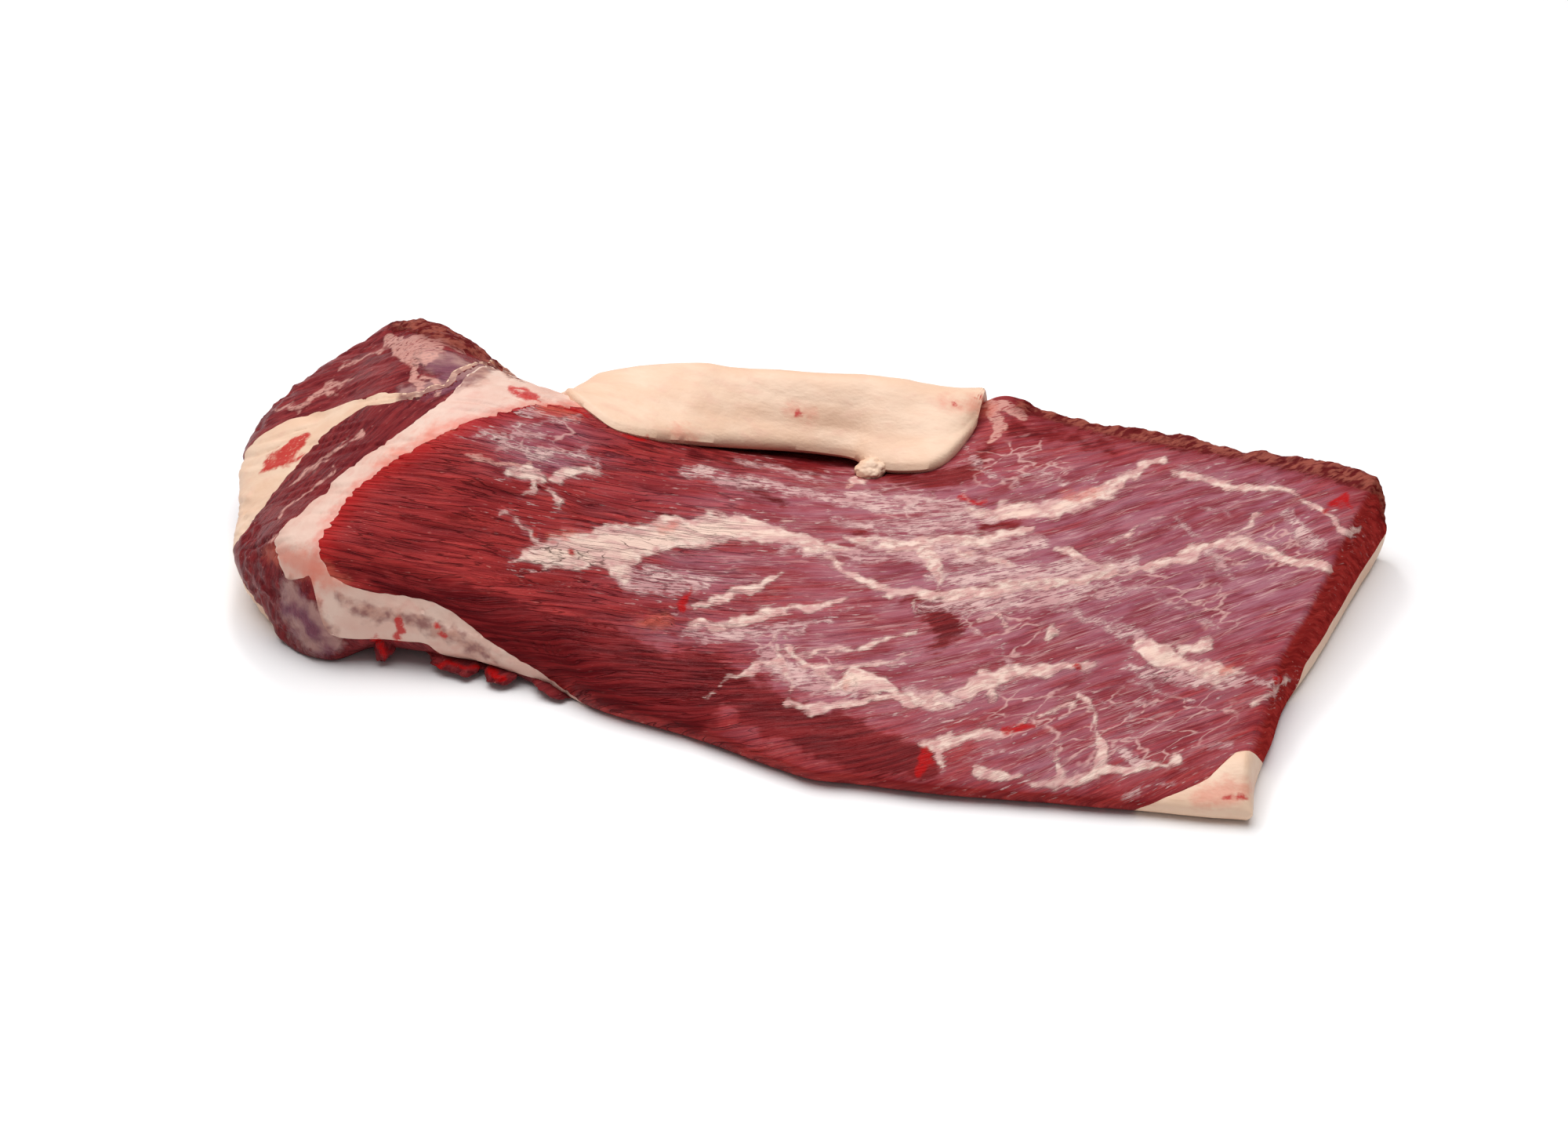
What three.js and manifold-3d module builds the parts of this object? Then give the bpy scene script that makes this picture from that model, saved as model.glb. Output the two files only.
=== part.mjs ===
// A raw beef brisket, lying on its fat cap with the lean side up. Millimetres, +Z up.
// +X runs along the cut from the thick point end to the thin flat end, and +Y from the front edge
// to the back edge. The origin is on the table, under the middle of the cut.
// The cut is one block of meat whose tissues run through it as layers: the big flat muscle on top,
// the white seam of fat under it, the point muscle, the fat cap that it all lies on, and a strip of
// lean outside the cap at the point end. The layers come to light one after another where the point
// end slopes down, and the cap is folded over the back edge as a thick flap.
import * as THREE from "three";
import Module from "manifold-3d";

const wasm = await Module();
wasm.setup();

// The plan outline as four sides, each a smooth line through these points (x, y).
const FRONT_EDGE = [
  [-209, -77],
  [-181, -88],
  [-150, -83],
  [-85, -82],
  [-53, -94],
  [-7, -104],
  [40, -118],
  [60, -117],
  [95, -115],
  [151, -108],
  [218, -100],
];
const FLAT_END = [
  [218, -100],
  [216, -80],
  [218, -50],
  [221, -15],
  [230, 26],
  [239, 75],
  [245, 106],
  [248, 121],
];
const BACK_EDGE = [
  [-240, 86],
  [-212, 95],
  [-185, 90],
  [-150, 78],
  [-112, 81],
  [-70, 95],
  [0, 107],
  [50, 121],
  [72, 130],
  [100, 132],
  [186, 128],
  [248, 121],
];
const POINT_END = [
  [-209, -77],
  [-234, -52],
  [-248, -16],
  [-262, 20],
  [-266, 48],
  [-259, 71],
  [-240, 86],
];

// Height of the upper face over the table: a row for each place along X, a column for each along Y.
const ALONG = [-270, -225, -180, -140, -100, -50, 0, 60, 130, 200, 250];
const ACROSS = [-115, -60, -10, 40, 80, 125];
const UPPER_HEIGHTS = [
  [12, 20, 30, 43, 45, 36],
  [26, 38, 46, 57, 62, 55],
  [40, 58, 72, 83, 81, 63],
  [26, 50, 76, 79, 53, 30],
  [14, 36, 60, 70, 40, 30],
  [11, 28, 46, 53, 38, 32],
  [12, 26, 40, 45, 38, 36],
  [12, 26, 38, 42, 46, 50],
  [12, 24, 34, 40, 46, 47],
  [12, 20, 29, 36, 43, 46],
  [13, 19, 28, 35, 41, 43],
];
// Local lumps and dents of the upper face: place, reach and height.
const LUMPS = [
  { x: 214, y: -84, reach: 13, height: 5 },
  { x: -205, y: -66, reach: 18, height: 4 },
  { x: 20, y: 74, reach: 26, height: -4 },
  { x: -212, y: 90, reach: 11, height: 4 },
  { x: -176, y: 80, reach: 10, height: -4 },
  { x: 72, y: 122, reach: 12, height: 5 },
  { x: 112, y: 125, reach: 14, height: -2 },
  { x: 178, y: 121, reach: 14, height: -2 },
  { x: 222, y: 118, reach: 12, height: 2 },
];

// The block's rough size in plan.
const BLOCK_SIZE = { length: 500, width: 200 };
// How each side rounds off: the reach of the rounding above and below its widest point.
const ROUNDING = {
  front: { above: 20, below: 8 },
  flatEnd: { above: 6, below: 3 },
  back: { above: 8, below: 10 },
  pointEnd: { above: 30, below: 22 },
};
const WIDEST_AT = { flatEnd: 6, back: 20, pointEnd: 27 };
// The widest point never lies higher than this share of the upper face.
const WIDEST_SHARE = 0.7;
// The front edge's widest point lies high under the point and low along the flat.
const FRONT_WIDEST = {
  at: [-210, -184, -170, -150, -128, -100, -80, -50, 220],
  z: [22, 14, 16, 20, 15, 11, 9, 8, 7],
};
// Under the point, the front edge is lifted off the table between these places along X.
const LIFTED_EDGE = { from: -178, to: -88, reach: 40 };

// Where the layers come to light on the upper face: lines (x, y) from the front edge to the back.
const FLAT_MUSCLE_LINE = [
  [-184, -110],
  [-182, -62],
  [-177, -42],
  [-165, -26],
  [-148, -9],
  [-136, 4],
  [-118, 25],
  [-100, 36],
  [-88, 60],
  [-84, 130],
];
const SEAM_LINE = [
  [-210, -110],
  [-207, -70],
  [-198, -55],
  [-190, -34],
  [-179, -22],
  [-166, -7],
  [-157, 6],
  [-154, 18],
  [-152, 40],
  [-146, 130],
];
const POINT_MUSCLE_LINE = [
  [-300, -50],
  [-250, -46],
  [-235, -41],
  [-229, -30],
  [-224, -13],
  [-217, 3],
  [-208, 11],
  [-196, 15],
  [-180, 11],
  [-170, 11],
  [-159, 18],
  [-155, 40],
  [-149, 130],
];
const CAP_LINE = [
  [-330, 30],
  [-250, 29],
  [-229, 30],
  [-210, 25],
  [-191, 19],
  [-178, 15],
  [-170, 15],
  [-162, 21],
  [-157, 40],
  [-151, 130],
];
// The cap's own front border, which the lean overhangs, and its bare front corner at the flat end.
const CAP_BORDER = [
  [270, -6],
  [226, -6],
  [212, -18],
  [205, -60],
  [192, -82],
  [140, -90],
  [60, -95],
  [0, -84],
  [-100, -62],
  [-170, -36],
  [-235, -22],
  [-330, -18],
];
const CAP_CORNER = [
  [240, -68],
  [207, -79],
  [200, -92],
  [172, -118],
];

// Thickness of the layers where they run level under the flat muscle.
const CAP_THICKNESS = 11;
const OUTER_LEAN_THICKNESS = 16;
// Heights along X of the undersides of the flat muscle and of the seam, which climb towards the
// point end and run out into the cap towards the flat end.
const MUSCLE_FLOOR = {
  at: [-190, -174, -156, -136, -122, -106, -84, -60, 0],
  z: [52, 42, 36, 34, 29, 19, 10, 0, -20],
};
const SEAM_FLOOR = {
  at: [-206, -196, -188, -184, -180, -176, -165, -144, -134, -128, -117, -92, -80, 0],
  z: [40, 37, 40, 41, 28, 18, 15, 15, 15, 8, 7, 6, 5, -24],
};
// Steepness with which a layer dives under its neighbour from the line where it shows.
const DIVE = 1.1;
// The cap thins out over this distance along its front border.
const CAP_TAPER = 13;
// Clear space between two layers and round the flap, so that their solids never overlap.
const GAP = 0.4;
const FLAP_GAP = 0.5;

// The fold of the cap over the back edge. Its lip lies on the lean, lifted off it in places, and
// its crown is the highest line along the back. Both ends thin out over their taper.
const FLAP = {
  from: -124,
  to: 63,
  thickness: 14,
  taper: { start: 24, end: 9 },
  swell: 2,
  // Places of its middle across: shares of the way from the lip to the crown, then down the back
  // with steps out past the back edge. The crown itself lies inside that edge.
  face: [0.3, 0.6, 0.9],
  crownInset: 6,
  shoulder: { out: 2, underCrown: 21 },
  heel: { out: 1, z: 14 },
  foot: { out: -8, z: 6 },
  lip: {
    at: [-124, -117, -112, -104, -95, -86, -78, -70, -56, -37, -18, 2, 12, 20, 30, 42, 50, 57, 63],
    y: [64, 55, 45, 37, 32, 29, 31, 35, 44, 58, 68, 74, 74, 69, 67, 66, 68, 78, 100],
  },
  // The lip's middle over the face of the lean: this much everywhere, and the lift besides.
  overLean: 1,
  lift: { at: [-124, -70, -56, -37, -18, 12, 24, 34, 63], z: [0, 0, 1.5, 3, 4, 4, 2, 1, 1] },
  crown: {
    at: [-124, -117, -110, -105, -88, -61, -50, -26, -8, 26, 43, 63],
    z: [46, 54, 62, 67, 71, 72, 70, 68, 67, 66, 63, 60],
  },
};

// Ragged tags of lean under the lifted edge: place, half sizes and tilt in degrees.
const TAGS = [
  { x: -155, y: -78, z: 9, size: [4, 6, 8], tilt: 15 },
  { x: -148, y: -71, z: 12, size: [5, 6, 8], tilt: -10 },
  { x: -123, y: -76, z: 5, size: [13, 7, 3.5], tilt: 6 },
  { x: -102, y: -79, z: 5, size: [7, 7, 4], tilt: -12 },
  { x: -76, y: -82, z: 5, size: [11, 7, 4], tilt: 8 },
];
// A nub of fat that hangs from the flap's lip onto the lean.
const NUB = { x: 22, y: 68, z: 40, size: [7, 7, 5], tilt: -8 };
const LUMP_DETAIL = 2;

// The block's grid: steps along, across and round each rim.
const LENGTH_STEPS = 60;
const WIDTH_STEPS = 30;
const RIM_STEPS = 5;
const FLAP_STEPS = { along: 24, across: 15 };
// Share of the flap's width that rounds off at its lip and at its foot.
const FLAP_RIM = 0.2;
// Step in share of the way along a line that gives its direction.
const NEARBY = 0.01;
// Height over everything, for what cuts the layers, and how far its outer ring spreads.
const CEILING = 200;
const RING_SPREAD = new THREE.Vector2(1.15, 1.35);
// Facets may leave the smooth shape by this much.
const FACET_TOLERANCE = 0.17;

const LENGTH_SHARES = crowdedShares(
  LENGTH_STEPS,
  ROUNDING.pointEnd.above / BLOCK_SIZE.length,
  ROUNDING.flatEnd.above / BLOCK_SIZE.length,
);
const WIDTH_SHARES = crowdedShares(
  WIDTH_STEPS,
  ROUNDING.front.above / BLOCK_SIZE.width,
  ROUNDING.back.above / BLOCK_SIZE.width,
);

// Smooth curve through values at increasing nodes: cubic steps with the slopes of the neighbours.
function smooth(nodes, values, at) {
  const last = nodes.length - 1;
  const x = Math.min(Math.max(at, nodes[0]), nodes[last]);
  let i = 0;
  while (i < last - 1 && x > nodes[i + 1]) i++;
  const slope = (k) => {
    const a = Math.max(k - 1, 0);
    const b = Math.min(k + 1, last);
    return (values[b] - values[a]) / (nodes[b] - nodes[a]);
  };
  const span = nodes[i + 1] - nodes[i];
  const t = (x - nodes[i]) / span;
  const rest = 1 - t;
  return (
    values[i] * (1 + 2 * t) * rest * rest +
    slope(i) * span * t * rest * rest +
    values[i + 1] * t * t * (3 - 2 * t) -
    slope(i + 1) * span * t * t * rest
  );
}

// A smooth line through points, read by its share of the way along.
function lineThrough(points) {
  const nodes = [0];
  for (let i = 1; i < points.length; i++) {
    const [ax, ay] = points[i - 1];
    const [bx, by] = points[i];
    nodes.push(nodes[i - 1] + Math.hypot(bx - ax, by - ay));
  }
  const total = nodes[nodes.length - 1];
  const shares = nodes.map((n) => n / total);
  const xs = points.map((p) => p[0]);
  const ys = points.map((p) => p[1]);
  return (share) => new THREE.Vector2(smooth(shares, xs, share), smooth(shares, ys, share));
}

const frontEdge = lineThrough(FRONT_EDGE);
const backEdge = lineThrough(BACK_EDGE);
const pointEnd = lineThrough(POINT_END);
const flatEnd = lineThrough(FLAT_END);

// A place in plan: u runs from the point end to the flat end, v from the front edge to the back.
function planPoint(u, v) {
  const blend = (a, b, share) => a.clone().lerp(b, share);
  const lengthwise = blend(frontEdge(u), backEdge(u), v);
  const crosswise = blend(pointEnd(v), flatEnd(v), u);
  const corners = blend(
    blend(frontEdge(0), frontEdge(1), u),
    blend(backEdge(0), backEdge(1), u),
    v,
  );
  return lengthwise.add(crosswise).sub(corners);
}

function upperHeight(x, y) {
  const rows = UPPER_HEIGHTS.map((row) => smooth(ACROSS, row, y));
  let height = smooth(ALONG, rows, x);
  for (const lump of LUMPS) {
    const away = Math.hypot(x - lump.x, y - lump.y) / lump.reach;
    height += lump.height * Math.exp(-away * away);
  }
  return height;
}

// Quarter ellipse: 0 on the rim, 1 from the reach inwards.
function rise(distance, reach) {
  const left = 1 - Math.min(distance / reach, 1);
  return Math.sqrt(1 - left * left);
}

function liftedReach(x) {
  const middle = (LIFTED_EDGE.from + LIFTED_EDGE.to) / 2;
  const half = (LIFTED_EDGE.to - LIFTED_EDGE.from) / 2;
  const share = THREE.MathUtils.smoothstep(half - Math.abs(x - middle), 0, half / 2);
  return THREE.MathUtils.lerp(ROUNDING.front.below, LIFTED_EDGE.reach, share);
}

// Plan place with the heights of the upper and the lower face there.
function blockPoint(u, v) {
  const p = planPoint(u, v);
  const sides = [
    {
      away: p.distanceTo(planPoint(u, 0)),
      above: ROUNDING.front.above,
      below: liftedReach(p.x),
      widest: smooth(FRONT_WIDEST.at, FRONT_WIDEST.z, p.x),
    },
    { away: p.distanceTo(planPoint(u, 1)), ...ROUNDING.back, widest: WIDEST_AT.back },
    { away: p.distanceTo(planPoint(0, v)), ...ROUNDING.pointEnd, widest: WIDEST_AT.pointEnd },
    { away: p.distanceTo(planPoint(1, v)), ...ROUNDING.flatEnd, widest: WIDEST_AT.flatEnd },
  ];
  let weights = 0;
  let widest = 0;
  let above = 1;
  let below = 1;
  for (const side of sides) {
    const weight = 1 / (side.away + 1) ** 2;
    weights += weight;
    widest += weight * side.widest;
    above *= rise(side.away, side.above);
    below *= rise(side.away, side.below);
  }
  widest = Math.min(widest / weights, WIDEST_SHARE * upperHeight(p.x, p.y));
  return {
    x: p.x,
    y: p.y,
    upper: widest + (upperHeight(p.x, p.y) - widest) * above,
    lower: widest * (1 - below),
  };
}

// Shares from 0 to 1 that crowd together where the two ends round off.
function crowdedShares(steps, startReach, endReach) {
  const shares = [];
  for (let k = 0; k < RIM_STEPS; k++) {
    shares.push(startReach * (1 - Math.cos((Math.PI / 2) * (k / RIM_STEPS))));
  }
  const inner = steps - 2 * RIM_STEPS;
  for (let k = 0; k <= inner; k++) {
    shares.push(THREE.MathUtils.lerp(startReach, 1 - endReach, k / inner));
  }
  for (let k = RIM_STEPS - 1; k >= 0; k--) {
    shares.push(1 - endReach * (1 - Math.cos((Math.PI / 2) * (k / RIM_STEPS))));
  }
  return shares;
}

// Closed solid between two sheets of rows by columns points. Where the sheets share their border,
// they meet on it, and otherwise walls join them.
function solidBetween(upper, lower, bordersMeet) {
  const rows = upper.length;
  const columns = upper[0].length;
  const points = upper.flat().map((p) => [p.x, p.y, p.z]);
  const upperIndex = (i, j) => i * columns + j;
  const lowerIndices = new Map();
  const onBorder = (i, j) => i === 0 || j === 0 || i === rows - 1 || j === columns - 1;
  for (let i = 0; i < rows; i++) {
    for (let j = 0; j < columns; j++) {
      if (bordersMeet && onBorder(i, j)) {
        lowerIndices.set(upperIndex(i, j), upperIndex(i, j));
      } else {
        lowerIndices.set(upperIndex(i, j), points.length);
        const p = lower[i][j];
        points.push([p.x, p.y, p.z]);
      }
    }
  }
  const triangles = [];
  const quad = (a, b, c, d) => triangles.push(a, b, c, a, c, d);
  for (let i = 0; i < rows - 1; i++) {
    for (let j = 0; j < columns - 1; j++) {
      const ring = [
        upperIndex(i, j),
        upperIndex(i + 1, j),
        upperIndex(i + 1, j + 1),
        upperIndex(i, j + 1),
      ];
      quad(...ring);
      quad(...ring.map((k) => lowerIndices.get(k)).reverse());
    }
  }
  if (!bordersMeet) {
    const border = [];
    for (let i = 0; i < rows - 1; i++) border.push(upperIndex(i, 0));
    for (let j = 0; j < columns - 1; j++) border.push(upperIndex(rows - 1, j));
    for (let i = rows - 1; i > 0; i--) border.push(upperIndex(i, columns - 1));
    for (let j = columns - 1; j > 0; j--) border.push(upperIndex(0, j));
    border.forEach((k, n) => {
      const next = border[(n + 1) % border.length];
      quad(k, lowerIndices.get(k), lowerIndices.get(next), next);
    });
  }
  return solidFrom(points, triangles);
}

function solidFrom(points, triangles) {
  return new wasm.Manifold(
    new wasm.Mesh({
      numProp: 3,
      vertProperties: new Float32Array(points.flat()),
      triVerts: new Uint32Array(triangles),
    }),
  );
}

function makeBlock() {
  const grid = LENGTH_SHARES.map((u) => WIDTH_SHARES.map((v) => blockPoint(u, v)));
  const upper = grid.map((row) => row.map((p) => new THREE.Vector3(p.x, p.y, p.upper)));
  const lower = grid.map((row) => row.map((p) => new THREE.Vector3(p.x, p.y, p.lower)));
  return solidBetween(upper, lower, true);
}

// Distance of a place to a line of points, above 0 on the side of the flat end.
function distanceTo(line, x, y) {
  let nearest = Infinity;
  let side = 1;
  for (let i = 1; i < line.length; i++) {
    const [ax, ay] = line[i - 1];
    const [bx, by] = line[i];
    const dx = bx - ax;
    const dy = by - ay;
    const share = ((x - ax) * dx + (y - ay) * dy) / (dx * dx + dy * dy);
    const t = THREE.MathUtils.clamp(share, 0, 1);
    const distance = Math.hypot(x - ax - t * dx, y - ay - t * dy);
    if (distance < nearest) {
      nearest = distance;
      side = (x - ax) * dy - (y - ay) * dx > 0 ? 1 : -1;
    }
  }
  return nearest * side;
}

// The surfaces under the layers, by plan place.
function muscleFloor(x, y) {
  const level = smooth(MUSCLE_FLOOR.at, MUSCLE_FLOOR.z, x);
  return Math.max(level, upperHeight(x, y) - DIVE * distanceTo(FLAT_MUSCLE_LINE, x, y));
}

function seamFloor(x, y) {
  const level = smooth(SEAM_FLOOR.at, SEAM_FLOOR.z, x);
  return Math.max(level, upperHeight(x, y) - DIVE * distanceTo(SEAM_LINE, x, y));
}

function capTop(x, y) {
  const inside = distanceTo(CAP_BORDER, x, y);
  const share = THREE.MathUtils.smoothstep(inside, -CAP_TAPER, CAP_TAPER);
  const face = upperHeight(x, y);
  return Math.max(
    CAP_THICKNESS * (2 * share - 1),
    face - DIVE * distanceTo(POINT_MUSCLE_LINE, x, y),
    face - DIVE * distanceTo(CAP_CORNER, x, y),
  );
}

function outerLeanTop(x, y) {
  const level = -OUTER_LEAN_THICKNESS;
  return Math.max(level, upperHeight(x, y) - DIVE * distanceTo(CAP_LINE, x, y));
}

// Everything over a surface, out past the block's own outline. Its sheet has the block's own grid,
// so that a layer comes to light along a clean line, and one more ring outside it.
function spaceOver(surface, lift) {
  const us = [0, ...LENGTH_SHARES, 1];
  const vs = [0, ...WIDTH_SHARES, 1];
  const sheet = (height) =>
    us.map((u, i) =>
      vs.map((v, j) => {
        const p = planPoint(u, v);
        if (i === 0 || i === us.length - 1) p.multiply(RING_SPREAD);
        if (j === 0 || j === vs.length - 1) p.multiply(RING_SPREAD);
        return new THREE.Vector3(p.x, p.y, height(p.x, p.y));
      }),
    );
  return solidBetween(
    sheet(() => CEILING),
    sheet((x, y) => surface(x, y) + lift),
    false,
  );
}

// The folded cap: a thick sheet that climbs the back edge and lies forward on the lean. Growth
// makes it larger on every side, for the room that the other layers leave it.
function makeFlap(growth) {
  const { from, to, thickness, taper } = FLAP;
  const length = to - from;
  const along = crowdedShares(FLAP_STEPS.along, taper.start / length, taper.end / length);
  const places = along.map((share) => THREE.MathUtils.lerp(from, to, share));
  places[0] -= growth;
  places[places.length - 1] += growth;
  const across = crowdedShares(FLAP_STEPS.across, FLAP_RIM, FLAP_RIM);
  const upper = [];
  const lower = [];
  for (const place of places) {
    const x = THREE.MathUtils.clamp(place, from, to);
    const tapered = rise(x - from, taper.start) * rise(to - x, taper.end);
    const path = flapPath(x, tapered, growth);
    const upperRow = [];
    const lowerRow = [];
    for (const t of across) {
      const here = path(t);
      const way = path(Math.min(t + NEARBY, 1)).sub(path(Math.max(t - NEARBY, 0)));
      const out = new THREE.Vector2(-way.y, way.x).normalize();
      const fullness = tapered * rise(Math.min(t, 1 - t), FLAP_RIM);
      const half = (thickness / 2) * fullness + (fullness > 0 ? growth : 0);
      const up = here.clone().addScaledVector(out, half);
      const down = here.clone().addScaledVector(out, -half);
      upperRow.push(new THREE.Vector3(place, up.x, up.y));
      lowerRow.push(new THREE.Vector3(place, down.x, down.y));
    }
    upper.push(upperRow);
    lower.push(lowerRow);
  }
  return solidBetween(upper, lower, true);
}

// The middle of the flap at one place along X, as a line (y, z) from the lip to the foot of the
// back edge. Its face runs straight from the lip to the crown, with a slight swell, also where the
// flap thins out.
function flapPath(x, tapered, growth) {
  const { lip, lift, crown, shoulder, heel, foot } = FLAP;
  const rim = backEdgeAt(x);
  const lipY = smooth(lip.at, lip.y, x);
  const lipZ = upperHeight(x, lipY) + FLAP.overLean + smooth(lift.at, lift.z, x);
  const crownZ = smooth(crown.at, crown.z, x);
  const start = new THREE.Vector2(lipY, lipZ);
  const back = new THREE.Vector2(rim - FLAP.crownInset, crownZ);
  const along = back.clone().sub(start).normalize();
  const across = new THREE.Vector2(-along.y, along.x);
  start.addScaledVector(along, -growth);
  const face = FLAP.face.map((share) => {
    const depth = (FLAP.thickness / 2) * tapered - FLAP.swell * Math.sin(Math.PI * share);
    return start.clone().lerp(back, share).addScaledVector(across, -depth);
  });
  return lineThrough([
    start.toArray(),
    ...face.map((p) => p.toArray()),
    [rim + shoulder.out, crownZ - shoulder.underCrown],
    [rim + heel.out, heel.z],
    [rim + foot.out - growth, foot.z - growth],
  ]);
}

function backEdgeAt(x) {
  return smooth(
    BACK_EDGE.map((p) => p[0]),
    BACK_EDGE.map((p) => p[1]),
    x,
  );
}

// An ellipsoid with a place, half sizes and a tilt, grown on every side.
function makeLump({ x, y, z, size, tilt }, growth) {
  const shape = new THREE.IcosahedronGeometry(1, LUMP_DETAIL);
  shape.scale(...size.map((half) => half + growth));
  shape.rotateY(THREE.MathUtils.degToRad(tilt));
  shape.translate(x, y, z);
  const places = new Map();
  const points = [];
  const triangles = [];
  const position = shape.getAttribute("position");
  for (let i = 0; i < position.count; i++) {
    const p = [position.getX(i), position.getY(i), position.getZ(i)];
    const key = p.map((n) => n.toFixed(3)).join();
    if (!places.has(key)) {
      places.set(key, points.length);
      points.push(p);
    }
    triangles.push(places.get(key));
  }
  return solidFrom(points, triangles);
}

// The flap with its nub.
function makeFold(growth) {
  return makeFlap(growth).add(makeLump(NUB, growth));
}

// The main body of a solid, without the crumbs that a cut may leave.
function largest(solid) {
  return solid.decompose().sort((a, b) => b.volume() - a.volume())[0];
}

function geometryOf(solid) {
  const { numProp, vertProperties, triVerts } = solid.getMesh();
  const places = new Float32Array((vertProperties.length / numProp) * 3);
  for (let i = 0; i < places.length / 3; i++) {
    places.set(vertProperties.subarray(i * numProp, i * numProp + 3), i * 3);
  }
  const geometry = new THREE.BufferGeometry();
  geometry.setAttribute("position", new THREE.BufferAttribute(places, 3));
  geometry.setIndex(new THREE.BufferAttribute(new Uint32Array(triVerts), 1));
  geometry.computeVertexNormals();
  return geometry;
}

function makeLayers() {
  const block = makeBlock();
  const foldRoom = makeFold(FLAP_GAP);
  const overCap = block.intersect(spaceOver(capTop, GAP)).subtract(foldRoom);
  const flatMuscle = overCap.intersect(spaceOver(muscleFloor, 0));
  const underMuscle = overCap.subtract(spaceOver(muscleFloor, -GAP));
  const seam = underMuscle.intersect(spaceOver(seamFloor, 0));
  const tags = wasm.Manifold.union(TAGS.map((tag) => makeLump(tag, 0)));
  const pointMuscle = underMuscle
    .add(tags)
    .subtract(spaceOver(seamFloor, -GAP))
    .subtract(spaceOver(muscleFloor, -GAP));
  const underCapTop = block.subtract(spaceOver(capTop, 0));
  const cap = underCapTop.intersect(spaceOver(outerLeanTop, 0)).add(makeFold(0));
  const outerLean = underCapTop.subtract(spaceOver(outerLeanTop, -GAP)).subtract(foldRoom);
  return { flatMuscle, seam, pointMuscle, cap, outerLean };
}

const LEAN = new THREE.MeshStandardMaterial({ color: 0x7d3034, roughness: 0.45, metalness: 0 });
const FAT = new THREE.MeshStandardMaterial({ color: 0xe8cbaa, roughness: 0.5, metalness: 0 });
const SEAM = new THREE.MeshStandardMaterial({ color: 0xdcb7a6, roughness: 0.45, metalness: 0 });

const layers = makeLayers();
const brisket = new THREE.Group();
const addLayer = (name, solid, material) => {
  const mesh = new THREE.Mesh(geometryOf(largest(solid).simplify(FACET_TOLERANCE)), material);
  mesh.name = name;
  brisket.add(mesh);
};
addLayer("flat_muscle", layers.flatMuscle, LEAN);
addLayer("seam_fat", layers.seam, SEAM);
addLayer("point_muscle", layers.pointMuscle, LEAN);
addLayer("fat_cap", layers.cap, FAT);
addLayer("outer_lean", layers.outerLean, LEAN);

// Puts the origin on the table under the middle of the cut.
const box = new THREE.Box3().setFromObject(brisket);
const middle = box.getCenter(new THREE.Vector3());
brisket.position.set(-middle.x, -middle.y, -box.min.z);

export default brisket;
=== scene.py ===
"""A raw beef brisket on its fat cap, lean side up.

The shape is drawn in millimetres in the same way as the frame's solids: one block of meat between
an upper and a lower sheet, split into its tissues, with the cap folded over the back edge. It is
drawn much finer here, with fibres, cracks and fat in relief, and every tissue replaces its solid.
"""
import math

import bmesh
import bpy
import numpy as np
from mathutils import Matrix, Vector


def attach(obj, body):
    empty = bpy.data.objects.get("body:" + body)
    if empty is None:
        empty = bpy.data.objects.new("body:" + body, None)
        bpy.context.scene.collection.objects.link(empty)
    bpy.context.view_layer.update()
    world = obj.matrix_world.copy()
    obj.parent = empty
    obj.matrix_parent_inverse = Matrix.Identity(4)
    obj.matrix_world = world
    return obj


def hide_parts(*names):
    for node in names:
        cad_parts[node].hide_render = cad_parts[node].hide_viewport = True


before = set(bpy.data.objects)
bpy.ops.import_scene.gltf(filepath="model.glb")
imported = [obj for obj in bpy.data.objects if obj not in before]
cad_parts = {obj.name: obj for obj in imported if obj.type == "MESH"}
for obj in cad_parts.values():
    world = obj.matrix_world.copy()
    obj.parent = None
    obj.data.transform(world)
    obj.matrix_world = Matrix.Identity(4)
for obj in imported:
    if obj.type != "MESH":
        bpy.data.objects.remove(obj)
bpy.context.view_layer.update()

MM = 0.001
# The drawing's origin in the frame.
DRAWING_ORIGIN = np.array([9.00, -7.61, 0.0])

# Shape, as in the frame's solids.
FRONT_EDGE = [
    (-209, -77), (-181, -88), (-150, -83), (-85, -82), (-53, -94), (-7, -104),
    (40, -118), (60, -117), (95, -115), (151, -108), (218, -100),
]
FLAT_END = [
    (218, -100), (216, -80), (218, -50), (221, -15), (230, 26), (239, 75), (245, 106), (248, 121),
]
BACK_EDGE = [
    (-240, 86), (-212, 95), (-185, 90), (-150, 78), (-112, 81), (-70, 95),
    (0, 107), (50, 121), (72, 130), (100, 132), (186, 128), (248, 121),
]
POINT_END = [(-209, -77), (-234, -52), (-248, -16), (-262, 20), (-266, 48), (-259, 71), (-240, 86)]

ALONG = [-270, -225, -180, -140, -100, -50, 0, 60, 130, 200, 250]
ACROSS = [-115, -60, -10, 40, 80, 125]
UPPER_HEIGHTS = [
    [12, 20, 30, 43, 45, 36],
    [26, 38, 46, 57, 62, 55],
    [40, 58, 72, 83, 81, 63],
    [26, 50, 76, 79, 53, 30],
    [14, 36, 60, 70, 40, 30],
    [11, 28, 46, 53, 38, 32],
    [12, 26, 40, 45, 38, 36],
    [12, 26, 38, 42, 46, 50],
    [12, 24, 34, 40, 46, 47],
    [12, 20, 29, 36, 43, 46],
    [13, 19, 28, 35, 41, 43],
]
# Local lumps and dents of the upper face: (x, y, reach, height).
LUMPS = [
    (214, -84, 13, 5), (-205, -66, 18, 4), (20, 74, 26, -4), (-212, 90, 11, 4), (-176, 80, 10, -4),
    (72, 122, 12, 5), (112, 125, 14, -2), (178, 121, 14, -2), (222, 118, 12, 2),
]

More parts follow.
